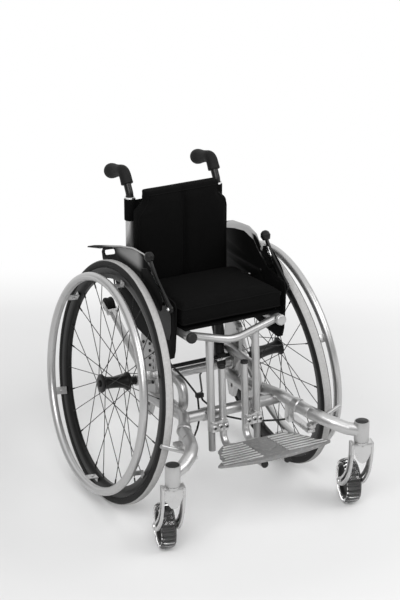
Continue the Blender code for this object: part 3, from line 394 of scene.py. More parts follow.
def bare_alloy():
    """Cast and polished light alloy, brighter than the paint, with fine brushing."""
    alloy = Finish("bare_alloy", Metallic=0.9)
    cloud = alloy.noise(30, 4.0)
    brush = alloy.noise(700, 2.0, (1, 1, 0.08))
    tone = alloy.mix(cloud, grey(0.50, 0.003), grey(0.64, 0.002))
    return alloy.coat(tone, 0.20 + cloud * 0.12 + brush * 0.06, brush, 0.00004, 0.5)


def dull_alloy():
    """Bare tube end, greyer than the paint."""
    alloy = Finish("dull_alloy", Metallic=0.8)
    cloud = alloy.noise(40, 4.0)
    grain = alloy.noise(1300, 2.0)
    tone = alloy.mix(cloud * 0.6 + grain * 0.4, grey(0.22, 0.004), grey(0.34, 0.002))
    return alloy.coat(tone, 0.36 + grain * 0.14, grain, 0.00006, 0.5)


def plate_alloy():
    """Silver plate, sand-rough and darker between the ribs, worn bright along their tops."""
    alloy = Finish("plate_alloy", Metallic=0.85)
    grain = alloy.noise(520, 4.0)
    cloud = alloy.noise(26, 4.0)
    worn = alloy.noise(90, 4.0).above(0.60, 0.06)
    level = alloy.vector("DOT_PRODUCT", alloy.place, PLATE_UP)
    from_pad = alloy.vector("DISTANCE", alloy.place, PAD_CENTRE)
    ridge = (level - PLATE_LEVEL).above(0.0016, 0.0006) * from_pad.above(0.0310, 0.0010)
    tone = alloy.mix(grain * 0.5 + cloud * 0.3, grey(0.20, 0.004), grey(0.36, 0.002))
    tone = alloy.mix(ridge, tone, grey(0.74))
    tone = alloy.mix(worn * 0.12, tone, grey(0.80))
    return alloy.coat(tone, 0.34 + grain * 0.25 - ridge * 0.14, grain * (1 - ridge * 0.8), 0.00045, 0.9)


def guard_gloss():
    """Smooth black moulding with a painted highlight: its upward-facing top and the upper part of its outward
    face are painted pale grey in place of the room's reflection.
    """
    gloss = Finish("guard_gloss", Specular_IOR_Level=0.05)
    cloud = gloss.noise(20)
    fine = gloss.noise(600, 2.0)
    scratch = gloss.noise(160, 3.0, (1, 0.15, 1)).above(0.72, 0.02)
    x, reach, z = gloss.split(gloss.place)
    facing = gloss.split(gloss.coordinate("Normal"))
    # painted highlight: the guard's upward-facing top and the upper part of its outward face are mixed toward
    # pale grey 0.42
    painted_outer_highlight = (x * facing[0]).above(0.030, 0.010) * z.above(0.580, 0.012)
    painted_outer_highlight = painted_outer_highlight * reach.above(0.056, 0.020) * (1 - reach.above(0.185, 0.020))
    painted_crest_highlight = facing[2].above(0.55, 0.10) * reach.above(0.010, 0.030) * (1 - reach.above(0.235, 0.012))
    painted_crest_highlight = painted_crest_highlight.larger(painted_outer_highlight * 0.9)
    tone = gloss.mix(cloud * 0.5 + scratch * 0.3, grey(0.002), grey(0.006, 0.01))
    tone = gloss.mix(painted_crest_highlight * (0.80 + fine * 0.2), tone, grey(0.42, 0.004))
    return gloss.coat(tone, 0.52 + fine * 0.10 - painted_crest_highlight * 0.20, fine, 0.00003, 0.4)


def clear_urethane():
    """See-through tyre, slightly clouded, with small scuffs."""
    soft = Finish("clear_urethane", Transmission_Weight=1.0, IOR=1.40)
    cloud = soft.noise(60)
    scuff = soft.noise(240, 2.0).above(0.70, 0.04)
    tone = soft.mix(cloud * 0.4 + scuff * 0.3, grey(0.98, 0.003), grey(0.88, 0.008))
    return soft.coat(tone, 0.02 + cloud * 0.04 + scuff * 0.15, cloud, 0.00004, 0.3)


# making and placing a piece
def only(piece):
    bpy.ops.object.select_all(action="DESELECT")
    piece.select_set(True)
    bpy.context.view_layer.objects.active = piece


def edit(piece, *steps):
    """Runs edit-mode operators on everything in a piece."""
    only(piece)
    bpy.ops.object.mode_set(mode="EDIT")
    bpy.ops.mesh.select_all(action="SELECT")
    for step in steps:
        step()
    bpy.ops.object.mode_set(mode="OBJECT")
    return piece


def outward():
    bpy.ops.mesh.remove_doubles(threshold=0.00001)
    bpy.ops.mesh.normals_make_consistent(inside=False)


def smooth(piece, angle=40):
    only(piece)
    bpy.ops.object.shade_smooth_by_angle(angle=radians(angle), keep_sharp_edges=False)
    return piece


def modified(piece, kind, **settings):
    """Applies one modifier to a piece."""
    only(piece)
    modifier = piece.modifiers.new(kind.lower(), kind)
    for name, value in settings.items():
        setattr(modifier, name, value)
    bpy.ops.object.modifier_apply(modifier=modifier.name)
    return piece


def carried(piece, name, body, look, *stood_for):
    """Names a finished piece, gives it its finish and puts it on its body."""
    piece.name = piece.data.name = name
    piece.data.materials.clear()
    piece.data.materials.append(FINISHES[look])
    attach(piece, body)
    if stood_for:
        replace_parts(piece, *stood_for)
    return piece


def moved(piece, matrix):
    piece.data.transform(matrix)
    if matrix.determinant() < 0:
        piece.data.flip_normals()
    return piece


def joined(pieces):
    only(pieces[0])
    for piece in pieces:
        piece.select_set(True)
    bpy.ops.object.join()
    return bpy.context.object


def copied(piece, matrix):
    twin = piece.copy()
    twin.data = piece.data.copy()
    bpy.context.scene.collection.objects.link(twin)
    return moved(twin, matrix)


def axes(origin, x, y, z):
    return Matrix.Translation(origin) @ Matrix((x, y, z)).transposed().to_4x4()


def sideways(x, y=0, z=0):
    """Stands a flat outline up: its x runs rearward, its y up and its thickness toward +X."""
    return axes((x, y, z), (0, 1, 0), (0, 0, 1), (1, 0, 0))


def turned_to(direction):
    return Vector(direction).to_track_quat("Z", "Y").to_matrix().to_4x4()


def on_side(side):
    """The chair's own frame to its place, mirrored for the user's right."""
    return Matrix.Translation(SHIFT) @ Matrix.Diagonal((side, 1, 1, 1))


def to_wheel(side):
    lean, rise = sin(CAMBER), cos(CAMBER)
    return on_side(side) @ axes(WHEEL, (-lean, 0, rise), (0, 1, 0), (rise, 0, lean))


def to_caster(side):
    place = Matrix.Translation(SHIFT + Vector((side * CASTER.x, CASTER.y, 0)))
    return place @ Matrix.Rotation(-CASTER_TURN, 4, "Z")


def both(piece, name, body, look, *nodes, angle=40, place=on_side):
    """A piece modelled once and put on both sides; {s} in a name stands for the side."""
    smooth(piece, angle)
    for side, s in SIDES:
        stood_for = [node.format(s=s) for node in nodes]
        carried(copied(piece, place(side)), f"{name}_{s}", body.format(s=s), look, *stood_for)
    bpy.data.objects.remove(piece)


def single(piece, name, body, look, *nodes, angle=40):
    return carried(smooth(moved(piece, Matrix.Translation(SHIFT)), angle), name, body, look, *nodes)


# shapes
def eased(piece, width, angle=35):
    """Rounds a piece's edges over."""
    if not width:
        return piece
    limit = radians(angle)
    return modified(piece, "BEVEL", width=width, segments=2, limit_method="ANGLE", angle_limit=limit)


def bored(piece, *cutters):
    """Takes each cutter's shape out of a piece."""
    for cutter in cutters:
        modified(piece, "BOOLEAN", operation="DIFFERENCE", solver="EXACT", object=cutter)
        bpy.data.objects.remove(cutter)
    return piece


def spun(profile, steps=WHEEL_STEPS):
    """Closed profile of (radius, height) turned about Z, as spin makes it."""
    bpy.ops.mesh.primitive_circle_add(vertices=len(profile), radius=1.0)
    piece = bpy.context.object
    for vert, (radius, height) in zip(piece.data.vertices, profile):
        vert.co = (radius, 0, height)
    turn = lambda: bpy.ops.mesh.spin(steps=steps, angle=2 * pi, center=(0, 0, 0), axis=(0, 0, 1))
    return edit(piece, turn, outward)


def lathe(profile, at=(0, 0, 0), along=(0, 0, 1), steps=40):
    """Profile of (radius, height) turned about a line through a point."""
    return moved(spun(profile, steps), Matrix.Translation(at) @ turned_to(along))


def slab(outline, thickness, holes=(), ease=0.0006):
    """Flat plate: outline in x and y, z from 0 to its thickness, through holes, eased edges."""
    bpy.ops.mesh.primitive_circle_add(vertices=len(outline), radius=0.1, fill_type="NGON")
    piece = bpy.context.object
    for vert, (x, y) in zip(piece.data.vertices, outline):
        vert.co = (x, y, 0)
    raise_it = lambda: bpy.ops.mesh.extrude_region_move(TRANSFORM_OT_translate={"value": (0, 0, thickness)})
    edit(piece, raise_it, outward)
    below = Matrix.Translation((0, 0, -1.5 * thickness))
    bored(piece, *[moved(slab(hole, 4 * thickness, (), 0), below) for hole in holes])
    return eased(piece, ease)


def brick(size, centre, ease=0.0010):
    """Block with rounded edges."""
    bpy.ops.mesh.primitive_cube_add(size=1.0)
    piece = eased(moved(bpy.context.object, Matrix.Diagonal((*size, 1))), ease)
    return moved(piece, Matrix.Translation(centre))


def rod(start, end, radius, sides=8):
    """Round bar between two points."""
    start, end = Vector(start), Vector(end)
    depth = (end - start).length
    bpy.ops.mesh.primitive_cylinder_add(vertices=sides, radius=radius, depth=depth, end_fill_type="NGON")
    return moved(bpy.context.object, Matrix.Translation((start + end) / 2) @ turned_to(end - start))


def bolt(at, along, radius=0.0034, height=0.0026):
    """Pan head with a socket in it, standing on a face."""
    shares = ((0, 0.35), (0.45, 0.4), (0.5, 1), (0.85, 0.96), (1, 0.6), (1, 0), (0, -0.1))
    return lathe([(radius * r, height * h) for r, h in shares], at, along, 14)


def mirrored(half):
    """A whole profile from its upper half."""
    return half + [(radius, -height) for radius, height in reversed(half)]


def ring_outline(x, y, radius, count=16, start=0, whole=2 * pi, last=0):
    """Points on a circle, or on a part of one with its last point too."""
    turns = [start + whole * k / count for k in range(count + last)]
    return [(x + radius * cos(t), y + radius * sin(t)) for t in turns]


def stadium(x0, y0, x1, y1, radius, count=8):
    """Outline of a slot between two centres."""
    heading, half = atan2(y1 - y0, x1 - x0), pi
    far = ring_outline(x1, y1, radius, count, heading - half / 2, half, 1)
    return far + ring_outline(x0, y0, radius, count, heading + half / 2, half, 1)


def band(line, start, end, rounded=0.0):
    """Outline of a strap that narrows along a flat line, with a round far end if asked."""
    left, right, tip = [], [], []
    for k, p in enumerate(line):
        heading = (line[min(k + 1, len(line) - 1)] - line[max(k - 1, 0)]).normalized()
        width = start + (end - start) * k / (len(line) - 1)
        out = Vector((-heading.y, heading.x, 0)) * width / 2
        left.append(p + out)
        right.append(p - out)
    if rounded:
        turn = atan2(heading.y, heading.x)
        turns = [turn + radians(75 - 15 * k) for k in range(11)]
        tip = [line[-1] + rounded * Vector((cos(t), sin(t), 0)) for t in turns]
    return [(v.x, v.y) for v in left + tip + right[::-1]]


def bent(points, fillet, step=7):
    """Path whose corners are rounded off."""
    points = [Vector(p) for p in points]
    line = [points[0]]
    for before, corner, after in zip(points, points[1:], points[2:]):
        back, ahead = before - corner, after - corner
        turn = pi - back.angle(ahead)
        reach = min(fillet * tan(turn / 2), 0.49 * back.length, 0.49 * ahead.length)
        start, end = corner + back.normalized() * reach, corner + ahead.normalized() * reach
        count = max(2, ceil(degrees(turn) / step))
        for k in range(count + 1):
            line.append(start.lerp(corner, k / count).lerp(corner.lerp(end, k / count), k / count))
    return line + [points[-1]]


def flowing(points, count=6):
    """Smooth line through all the points."""
    points = [Vector(p) for p in points]
    padded = [2 * points[0] - points[1]] + points + [2 * points[-1] - points[-2]]
    line = []
    for k in range(len(points) - 1):
        a, b, c, d = padded[k:k + 4]
        for step in range(count):
            t = step / count
            bow = (2 * a - 5 * b + 4 * c - d) * t * t
            line.append((2 * b + (c - a) * t + bow + (3 * b - a - 3 * c + d) * t ** 3) / 2)
    return line + [points[-1]]


def around(corners, count):
    """Points along a closed outline, so many on each of its sides."""
    ends = zip(corners, corners[1:] + corners[:1])
    return [(xa + (xb - xa) * k / count, ya + (yb - ya) * k / count)
            for (xa, ya), (xb, yb) in ends for k in range(count)]


def pipe(path, radius, sides=20, girth=None):
    """Round bar along a path; girth is the share of the radius at each of its points."""
    bpy.ops.curve.primitive_nurbs_path_add()
    line = bpy.context.object
    line.data.splines.clear()
    run = line.data.splines.new("POLY")
    run.points.add(len(path) - 1)
    for k, point in enumerate(path):
        run.points[k].co = (*point, 1)
        run.points[k].radius = girth[k] if girth else 1
    line.data.twist_mode, line.data.use_fill_caps = "MINIMUM", True
    line.data.bevel_depth, line.data.bevel_resolution = radius, (sides - 4) // 2
    only(line)
    bpy.ops.object.convert(target="MESH")
    return edit(bpy.context.object, outward)


# rear wheels
def polar(radius, angle, height):
    return Vector((radius * cos(angle), radius * sin(angle), height))


def lace_spokes():
    """Crossed spokes with a bent head at the flange and a nipple at the rim."""
    pitch = 2 * pi / SPOKES
    parts = []
    for k in range(SPOKES):
        flange = 0.0325 if k % 2 == 0 else -0.0357
        lead = 1 if (k // 2) % 2 == 0 else -1
        at_rim = k * pitch
        start = polar(0.0192, at_rim - lead * 6 * pitch, flange + lead * 0.0021)
        end = polar(0.2487, at_rim, copysign(0.0025, flange))
        along, axle = (end - start).normalized(), Vector((0, 0, lead))
        parts.append(rod(start, end, 0.0010))
        parts.append(rod(end - along * 0.0110, end + along * 0.0016, 0.0019))
        parts.append(rod(start - axle * 0.0046, start + axle * 0.0008, 0.0016))
    return joined(parts)


def handrim_tab(angle):
    """Bent strip from the rim wall out to the handrim, with a dished screw."""
    strip = brick((0.0028, 0.0190, 0.0310), (0.2540, 0, 0.0263), 0)
    foot = brick((0.0125, 0.0170, 0.0022), (0.2591, 0, 0.0123), 0)
    tab = eased(joined([strip, foot]), 0.0009, 30)
    screw = rod((0.2500, 0, 0.0240), (0.2526, 0, 0.0240), 0.0036, 16)
    return moved(joined([tab, screw]), Matrix.Rotation(angle, 4, "Z"))


def build_wheels():
    tyre = mirrored(tenths(
        (2764, 98), (2785, 118), (2815, 132), (2850, 134), (2885, 124), (2906, 110), (2920, 96), (2932, 80),
        (2937, 72), (2934, 69), (2939, 66), (2946, 50), (2948, 34), (2943, 32), (2943, 27), (2949, 25),
        (2950, 8), (2946, 5)))
    rim = mirrored(tenths(
        (2745, 94), (2760, 98), (2762, 105), (2750, 108), (2715, 104), (2660, 104), (2620, 98), (2565, 78),
        (2525, 58), (2503, 36)))
    hub = tenths(
        (67, -400), (152, -400), (162, -396), (165, -388), (214, -386), (225, -376), (225, -342), (214, -331),
        (180, -318), (160, -260), (146, -120), (141, 0), (144, 100), (150, 180), (162, 240), (180, 278),
        (214, 302), (225, 311), (225, 339), (216, 348), (196, 354), (180, 361), (150, 366), (122, 368),
        (67, 368))
    tyre = smooth(spun(tyre), 50)
    rim = smooth(spun(rim))
    hub = smooth(joined([spun(hub, 40), lace_spokes()]))
    ring = spun(ring_outline(HANDRIM_RADIUS, HANDRIM_OUT, HANDRIM_TUBE, 24))
    tabs = [handrim_tab(TAB_FIRST + 2 * pi * k / TABS) for k in range(TABS)]
    handrim = smooth(joined([ring] + tabs))
    patterns = ((tyre, "tyre_", "tyre", "rear_tyre_"), (rim, "rim_", "black_metal", "rear_rim_"),
                (hub, "hub_and_spokes_", "black_metal", "rear_hub_"),
                (handrim, "pushrim_", "silver", "handrim_"))
    for side, s in SIDES:
        place = to_wheel(side)
        axle = (place.to_3x3() @ Vector((0, 0, 1))).normalized()
        FINISHES["tyre"] = tyre_rubber("tyre_rubber_" + s, place.translation, axle)
        for piece, name, look, node in patterns:
            carried(copied(piece, place), name + s, "rear_wheel_" + s, look, node + s)
    for row in patterns:
        bpy.data.objects.remove(row[0])


# front casters
def caster_fork():
    leg_line = tenths((0, 2021), (5, 1750), (60, 1480), (200, 1170), (430, 890), (670, 680), (905, 550))
    slot_line = tenths((15, 1680)) + leg_line[2:6]
    leg_line, slot_line = (flowing([(*p, 0) for p in line], 4) for line in (leg_line, slot_line))
    slot = band(slot_line, 0.0085, 0.0065)
    cap = tenths((0, 28), (50, 30), (70, 26), (78, 12), (78, -10), (0, -10))
    washer = tenths((0, 6), (64, 6), (70, 0), (0, -4))
    parts = []
    for side in (1, -1):
        leg = slab(band(leg_line, 0.0270, 0.0200, 0.0100), LEG_WALL, [slot], 0.0009)
        parts.append(moved(leg, sideways(LEG_IN if side > 0 else -LEG_IN - LEG_WALL)))
        parts.append(lathe(cap, (side * (LEG_IN + LEG_WALL), TRAIL, ROLL), (side, 0, 0), 24))
        parts.append(lathe(washer, (side * (LEG_IN - 0.0006), TRAIL, ROLL), (-side, 0, 0), 20))
    parts.append(brick((2 * (LEG_IN + LEG_WALL) - 0.0008, 0.0266, 0.0160), (0, 0, 0.1950), 0.0062))
    apron = tenths(
        (-190, 0), (190, 0), (186, -180), (132, -310), (62, -400), (0, -425), (-62, -400), (-132, -310),
        (-186, -180))
    place = Matrix.Translation((0, -0.0090, 0.1960)) @ Matrix.Rotation(radians(-4), 4, "X")
    place = place @ axes((0, 0, 0), (1, 0, 0), (0, 0, 1), (0, -1, 0))
    parts.append(moved(slab(apron, 0.0040, (), 0.0016), place))
    parts.append(lathe(tenths(
        (0, 1990), (160, 1990), (165, 1996), (165, 2054), (158, 2060), (60, 2060), (60, 2528), (56, 2532),
        (0, 2532))))
    parts.append(bolt((0, -0.0132, 0.1945), (0, -1, 0), 0.0026, 0.0016))
    parts.append(lathe(tenths((0, 213), (41, 213), (41, -213), (0, -213)), (0, TRAIL, ROLL), (1, 0, 0), 20))
    return joined(parts)


def caster_core():
    """Hub with ball races, thin web and a rim whose teeth show through the tyre."""
    half = tenths(
        (43, 200), (62, 202), (68, 196), (94, 196), (100, 190), (110, 110), (135, 84), (340, 78), (365, 100),
        (378, 140), (430, 145))
    core = lathe(mirrored(half), (0, 0, 0), (1, 0, 0), 60)
    tooth = brick((0.0250, 0.0050, 0.0030), (0, 0, 0.0438), 0.0006)
    teeth = [copied(tooth, Matrix.Rotation(2 * pi * k / 22, 4, "X")) for k in range(22)]
    bpy.data.objects.remove(tooth)
    return moved(joined([core] + teeth), Matrix.Translation((0, TRAIL, ROLL)))


def build_casters():
    roller = "caster_wheel_{s}"
    both(caster_fork(), "fork", "caster_swivel_{s}", "bare_alloy", "caster_fork_{s}", place=to_caster)
    both(caster_core(), "caster_hub", roller, "black_plastic", "caster_core_{s}", place=to_caster)
    half = tenths(
        (433, 145), (440, 162), (455, 173), (475, 179), (492, 178), (510, 163), (526, 138), (539, 105),
        (547, 68), (550, 30))
    tyre = lathe(mirrored(half), (0, TRAIL, ROLL), (1, 0, 0), 96)
    both(tyre, "caster_tread", roller, "clear_urethane", "caster_tyre_{s}", place=to_caster)


# frame
MEMBER = [Vector(p) for p in tenths((1160, -100, 2400), (1290, -2120, 2755), (1530, -2600, 2610))]
MEMBER_DIR = (MEMBER[2] - MEMBER[1]).normalized()


def hanger_at(x, z):
    """Point on the leaning front uprights at a height."""
    return Vector((x, -0.2195 + (z - 0.2390) * 0.0580, z))


def build_caster_arms():
    line = tenths(
        (1605, -3000, 2592), (1720, -3340, 2570), (1890, -3590, 2505), (2150, -3770, 2395),
        (2470, -3892, 2320))
    arm = pipe(flowing(bent([MEMBER[2] + MEMBER_DIR * 0.0004] + line, 0.030, 12), 2), 0.0155, 28)
    weld = tenths((0, 4), (160, 4), (164, 10), (164, 40), (156, 56), (0, 56))
    weld = lathe(weld, MEMBER[2], MEMBER_DIR, 28)
    low, top = HOUSE_LOW, HOUSE_TOP
    housing = lathe(tenths(
        (60, low + 8), (170, low + 8), (178, low + 16), (178, low + 40), (180, low + 46), (180, top - 12),
        (174, top), (160, top), (160, top - 28), (63, top - 28)), CASTER, steps=48)
    both(joined([arm, weld, housing]), "caster_arm", "frame", "silver", "caster_arm_{s}")
    cap = tenths(
        (0, top - 25), (155, top - 25), (157, top - 2), (152, top + 4), (118, top + 12), (106, top + 10),
        (98, top + 16), (0, top + 18))
    both(lathe(cap, CASTER), "housing_cap", "frame", "black_plastic", "caster_cap_{s}")
    shield = tenths((165, low - 18), (165, low + 6), (90, low + 6), (90, low - 18))
    both(lathe(shield, CASTER, steps=32), "bearing_shield", "frame", "black_plastic")


def build_side_frames():
    """Axle plate, folded tube and side member; the user's right also has the anti-tip arm's lug."""
    outline = tenths(
        (-300, 3960), (290, 3960), (370, 3880), (370, 2620), (120, 1900), (-80, 1900), (-380, 2620),
        (-380, 3880))
    holes = [ring_outline(HOLES_Y, HOLE_TOP - HOLE_PITCH * k, 0.0036) for k in range(4)]
    holes.append(stadium(-0.002, 0.242, -0.002, 0.218, 0.0042))
    plate = slab(outline, AXLE_PLATE_OUT - AXLE_PLATE_IN, holes, 0.0010)
    plate = moved(plate, sideways(AXLE_PLATE_IN))
    boss = tenths((0, 0), (182, 0), (190, 8), (190, 138), (182, 146), (0, 146))
    boss = lathe(boss, (0.1030, 0, 0.2830), (1, 0, 0), 36)
    fold = tenths((990, 180, 3250), (990, -1500, 3250), (990, -1500, 2500), (990, 180, 2500))
    fold = pipe(bent(fold, 0.0370, 6), 0.0115, 24)
    member = pipe(bent(MEMBER, 0.06, 3), 0.0140, 28)
    collar = tenths(
        (0, -180), (152, -180), (166, -150), (170, -60), (178, -50), (180, -40), (180, -8), (174, 0), (0, 0))
    collar = lathe(collar, MEMBER[2], MEMBER_DIR, 36)
    pattern = smooth(joined([plate, boss, fold, member, collar]))
    lug = tenths((300, -80), (455, -90), (520, -62), (545, 0), (520, 62), (455, 90), (300, 80))
    for side, s in SIDES:
        own = copied(pattern, on_side(side))
        if s == "r":
            eye = slab(lug, 0.0080, [ring_outline(0.0455, 0, 0.0043)], 0.0008)
            eye = moved(eye, Matrix.Translation(SHIFT) @ sideways(-0.1175, 0, 0.2900))
            own = joined([own, smooth(eye)])
        carried(own, "side_rail_" + s, "frame", "silver", "side_frame_" + s)
    bpy.data.objects.remove(pattern)


def build_foot_end():
    """Hangers, their clamps with screws, and the two foot tubes that slide in them."""
    lean = hanger_at(0, 1) - hanger_at(0, 0)
    foot = hanger_at(HANGER_X, HANGER_LOW)
    tube = tenths((0, 2880), (92.5, 2880), (92.5, 512), (88, 508), (0, 508))
    both(lathe(tube, foot, lean, 32), "hanger", "frame", "silver", "hanger_tube_{s}")
    end = tenths((68, 400), (68, 10), (74, 0), (80, 0), (83, 6), (83, 538), (0, 538), (0, 400))
    both(lathe(end, foot, lean, 32), "hanger_end", "frame", "dull_alloy")
    middle = (0.0453, -0.2237, (CLAMP_LOW + CLAMP_HIGH) / 2)
    clamp = brick((0.0458, 0.0290, CLAMP_HIGH - CLAMP_LOW), middle, 0.0052)
    bores = ((HANGER_X, 0.0095), (FOOT_X, 0.0091))
    clamp = bored(clamp, *[rod(hanger_at(x, 0.20), hanger_at(x, 0.28), radius, 32) for x, radius in bores])
    cuts = [brick((0.0014, 0.0120, 0.0400), (x, -0.2395, 0.2400), 0) for x in (0.0376, 0.0529)]
    clamp = eased(bored(clamp, *cuts), 0.0005)
    boss = tenths((0, -10), (62, -10), (62, 6), (56, 12), (0, 12))
    head = tenths((30, 10), (30, 30), (36, 34), (44, 26), (45, 8), (34, 8))
    socket = tenths((0, 6), (30, 6), (30, 22), (0, 22))
    places = [(x, CLAMP_FACE, z) for x, z in CLAMP_BOLTS]
    bolted = lambda profile, steps: [lathe(profile, at, (0, -1, 0), steps) for at in places]
    both(joined([clamp] + bolted(boss, 24)), "tube_clamp", "frame", "bare_alloy", "foot_clamp_{s}")
    both(joined(bolted(head, 24)), "clamp_screws", "frame", "dull_alloy")
    both(joined(bolted(socket, 6)), "clamp_sockets", "frame", "black_plastic")
    route = [hanger_at(FOOT_X, CLAMP_LOW + 0.0390 * k) for k in range(4, 0, -1)]
    route += [hanger_at(FOOT_X, z) for z in (CLAMP_LOW, 0.2140)]
    route += tenths(
        (300, -2262, 2020), (300, -2350, 1938), (300, -2480, 1915), (300, -2640, 1970), (300, -2850, 2050))
    front = (FOOT_X, FOOT_FRONT, 0.2227)
    route += [(FOOT_X, -0.3300, 0.2227 - FOOT_SLOPE * 0.0950), front]
    left = pipe(flowing(route, 5), 0.0088, 24)
    right = copied(left, Matrix.Diagonal((-1, 1, 1, 1)))
    across = Vector((FOOT_X, 0, 0))
    hinge = rod(FOOT_HINGE - across, FOOT_HINGE + across, 0.0060, 24)
    single(joined([left, right, hinge]), "footrest_tubes", "foot_frame", "silver", "foot_tubes")
    low = tenths((0, -30), (86, -30), (90, -22), (90, -4), (84, 6), (0, 8))
    high = tenths((0, -40), (91, -40), (93, -34), (93, 10), (86, 22), (0, 26))
    ends = []
    for x in (FOOT_X, -FOOT_X):
        ends.append(lathe(low, (x, FOOT_FRONT, 0.2227), (0, -1, FOOT_SLOPE), 24))
        ends.append(lathe(high, hanger_at(x, 0.3830), lean, 24))
    single(joined(ends), "tube_plugs", "foot_frame", "black_plastic")


# seat, back and handles
def handle_point(z):
    """Point on the part of the push handle that leans rearward above its bend."""
    return Vector((BACK_LINE.x, BACK_LINE.y + (z - HANDLE_BEND) * HANDLE_LEAN, z))


def build_back():
    tube = tenths(
        (0, 4570), (104, 4570), (110, 4576), (110, 7152), (106, 7156), (98, 7156), (98, 5500), (0, 5500))
    both(lathe(tube, BACK_LINE, steps=36), "back_upright", "backrest", "silver", "back_tube_{s}")
    ring = tenths(
        (99, 7158), (116, 7158), (120, 7162), (120, 7178), (117, 7181), (120, 7184), (120, 7201), (116, 7205),
        (99, 7205))
    screws = [bolt(BACK_LINE + Vector((0.0118, 0, 0.7181)), (1, 0, 0), 0.0019, 0.0018),
              bolt(BACK_LINE + Vector((0.0108, 0, 0.4750)), (1, 0, 0), 0.0052, 0.0030)]
    both(joined([lathe(ring, BACK_LINE, steps=36)] + screws), "clamp_ring", "backrest", "bright")
    line = [BACK_LINE + Vector((0, 0, 0.5850)), handle_point(HANDLE_BEND), handle_point(HANDLE_TOP)]
    core = pipe(bent(line, 0.0200, 4), 0.0092, 32)
    both(core, "handle_tube", "push_handle_{s}", "black_metal", "push_tube_{s}")


def build_grips():
    """Black foam grips: slightly flared foot, even sweep rearward, round bulb at the end."""
    line = bent([handle_point(GRIP_LOW), handle_point(GRIP_CORNER), (BACK_LINE.x, *GRIP_END)], 0.0300, 4)
    fine = [line[0]]
    for a, b in zip(line, line[1:]):
        count = max(1, round((b - a).length / 0.0020))
        fine += [a.lerp(b, k / count) for k in range(1, count + 1)]
    end = fine[-1] + (fine[-1] - fine[-2]).normalized() * GRIP_CAP
    fine += [fine[-1].lerp(end, sin(radians(6 * k))) for k in range(1, 15)] + [end]
    run = [0.0]
    for a, b in zip(fine, fine[1:]):
        run.append(run[-1] + (b - a).length)
    girth = []
    for s in run:
        left = run[-1] - s
        foot = 0.0010 * exp(-s / 0.0050) - 0.0012 * exp(-s / 0.0008)
        bulb = 0.0042 * exp(-((left - 0.0170) / 0.0230) ** 2)
        cap = max(0.0, 1 - max(0.0, 1 - left / GRIP_CAP) ** 2.6) ** (1 / 2.6)
        girth.append(max(0.02, (GRIP_R + foot + bulb) * cap / GRIP_R))
    grip = pipe(fine, GRIP_R, 32, girth)
    lean = (handle_point(1) - handle_point(0)).normalized()
    bore = rod(handle_point(GRIP_LOW) - lean * 0.02, handle_point(HANDLE_TOP) + lean * 0.0003, 0.0095, 32)
    both(bored(grip, bore), "grip", "push_handle_{s}", "black_rubber", "push_grip_{s}", angle=50)


def tempered(node):
    """Copy of a CAD solid with its loose triangles merged."""
    twin = copied(frame["nodes"][node], Matrix())
    twin.parent = None
    for key in list(twin.keys()):
        del twin[key]
    only(twin)
    if twin.data.has_custom_normals:
        bpy.ops.mesh.customdata_custom_splitnormals_clear()
    return edit(twin, lambda: bpy.ops.mesh.remove_doubles(threshold=0.00002))


def filled(node, cap=0.0045):
    """The node's own solid blown up as cloth, no point further than cap from where it started."""
    piece = modified(tempered(node), "REMESH", mode="VOXEL", voxel_size=0.005)
    before = [v.co.copy() for v in piece.data.vertices]
    cloth = piece.modifiers.new("fill", "CLOTH")
    cloth.settings.use_pressure = True
    cloth.settings.uniform_pressure_force = 4.0
    cloth.settings.effector_weights.gravity = 0
    for step in range(1, 21):
        bpy.context.scene.frame_set(step)
    only(piece)
    bpy.ops.object.modifier_apply(modifier=cloth.name)
    bpy.context.scene.frame_set(1)
    for vert, rest in zip(piece.data.vertices, before):
        step = vert.co - rest
        if step.length > cap:
            vert.co = rest + step.normalized() * cap
    return modified(piece, "SUBSURF", levels=1, render_levels=1)


def piping(cushion, line, radius=0.0019):
    """Sewn welt that follows the cushion's own surface along a closed line."""
    seated = []
    for point in line:
        near, normal = cushion.closest_point_on_mesh(point)[1:3]
        seated.append(near + normal * radius * 0.2)
    seated.append(seated[0])
    return pipe(seated, radius, 8)


def build_seat_pad():
    pad = filled("seat_cushion")
    low, high = (Vector(c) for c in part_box("seat_cushion"))
    pad = carried(smooth(pad, 80), "seat_pad", "frame", "fabric", "seat_cushion")
    corners = [(low.x, low.y), (high.x, low.y), (high.x, high.y), (low.x, high.y)]
    rise = (high.z - low.z) - (high.y - low.y) * SEAT_SLOPE
    welts = []
    for share in (0.90, 0.12):
        level = high.z - rise + rise * share
        loop = [Vector((x, y, level - (y - low.y) * SEAT_SLOPE)) for x, y in around(corners, 40)]
        welts.append(piping(pad, loop))
    carried(smooth(joined(welts), 60), "seat_welts", "frame", "welt")


def build_back_pad():
    """Two upright panels: the centre seam is drawn in after the filling, with a welt on each side."""
    pad = filled("back_cushion")
    low, high = (Vector(c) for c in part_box("back_cushion"))
    middle = SHIFT.x
    for vert in pad.data.vertices:
        across = (vert.co.x - middle) / 0.0045
        front = (high.y - vert.co.y) / (high.y - low.y)
        if front > 0.5:
            vert.co.y += 0.0060 * exp(-across * across) * (front - 0.5) * 2
    pad = carried(smooth(pad, 80), "back_pad", "backrest", "fabric", "back_cushion")
    top, base = high.z - 0.012, low.z + 0.012
    seams = []
    for offset in (-0.0062, 0.0062):
        line = []
        for k in range(60):
            start = Vector((middle + offset, low.y - 0.01, base + (top - base) * k / 59))
            near, normal = pad.closest_point_on_mesh(start)[1:3]
            line.append(near + normal * 0.0001)
        seams.append(pipe(line, 0.0007, 8))
    wide, shoulder = 0.1245, 0.0995
    half = [(wide, base), (wide, top - 0.060), (shoulder, top - 0.020), (shoulder, top)]
    outline = [(-wide, base)] + half + [(-x, z) for x, z in reversed(half[1:])]
    rim = [Vector((middle + x, low.y + 0.004, z)) for x, z in around(outline, 24)]
    seams.append(piping(pad, rim, 0.0016))
    carried(smooth(joined(seams), 60), "back_welts", "backrest", "welt")


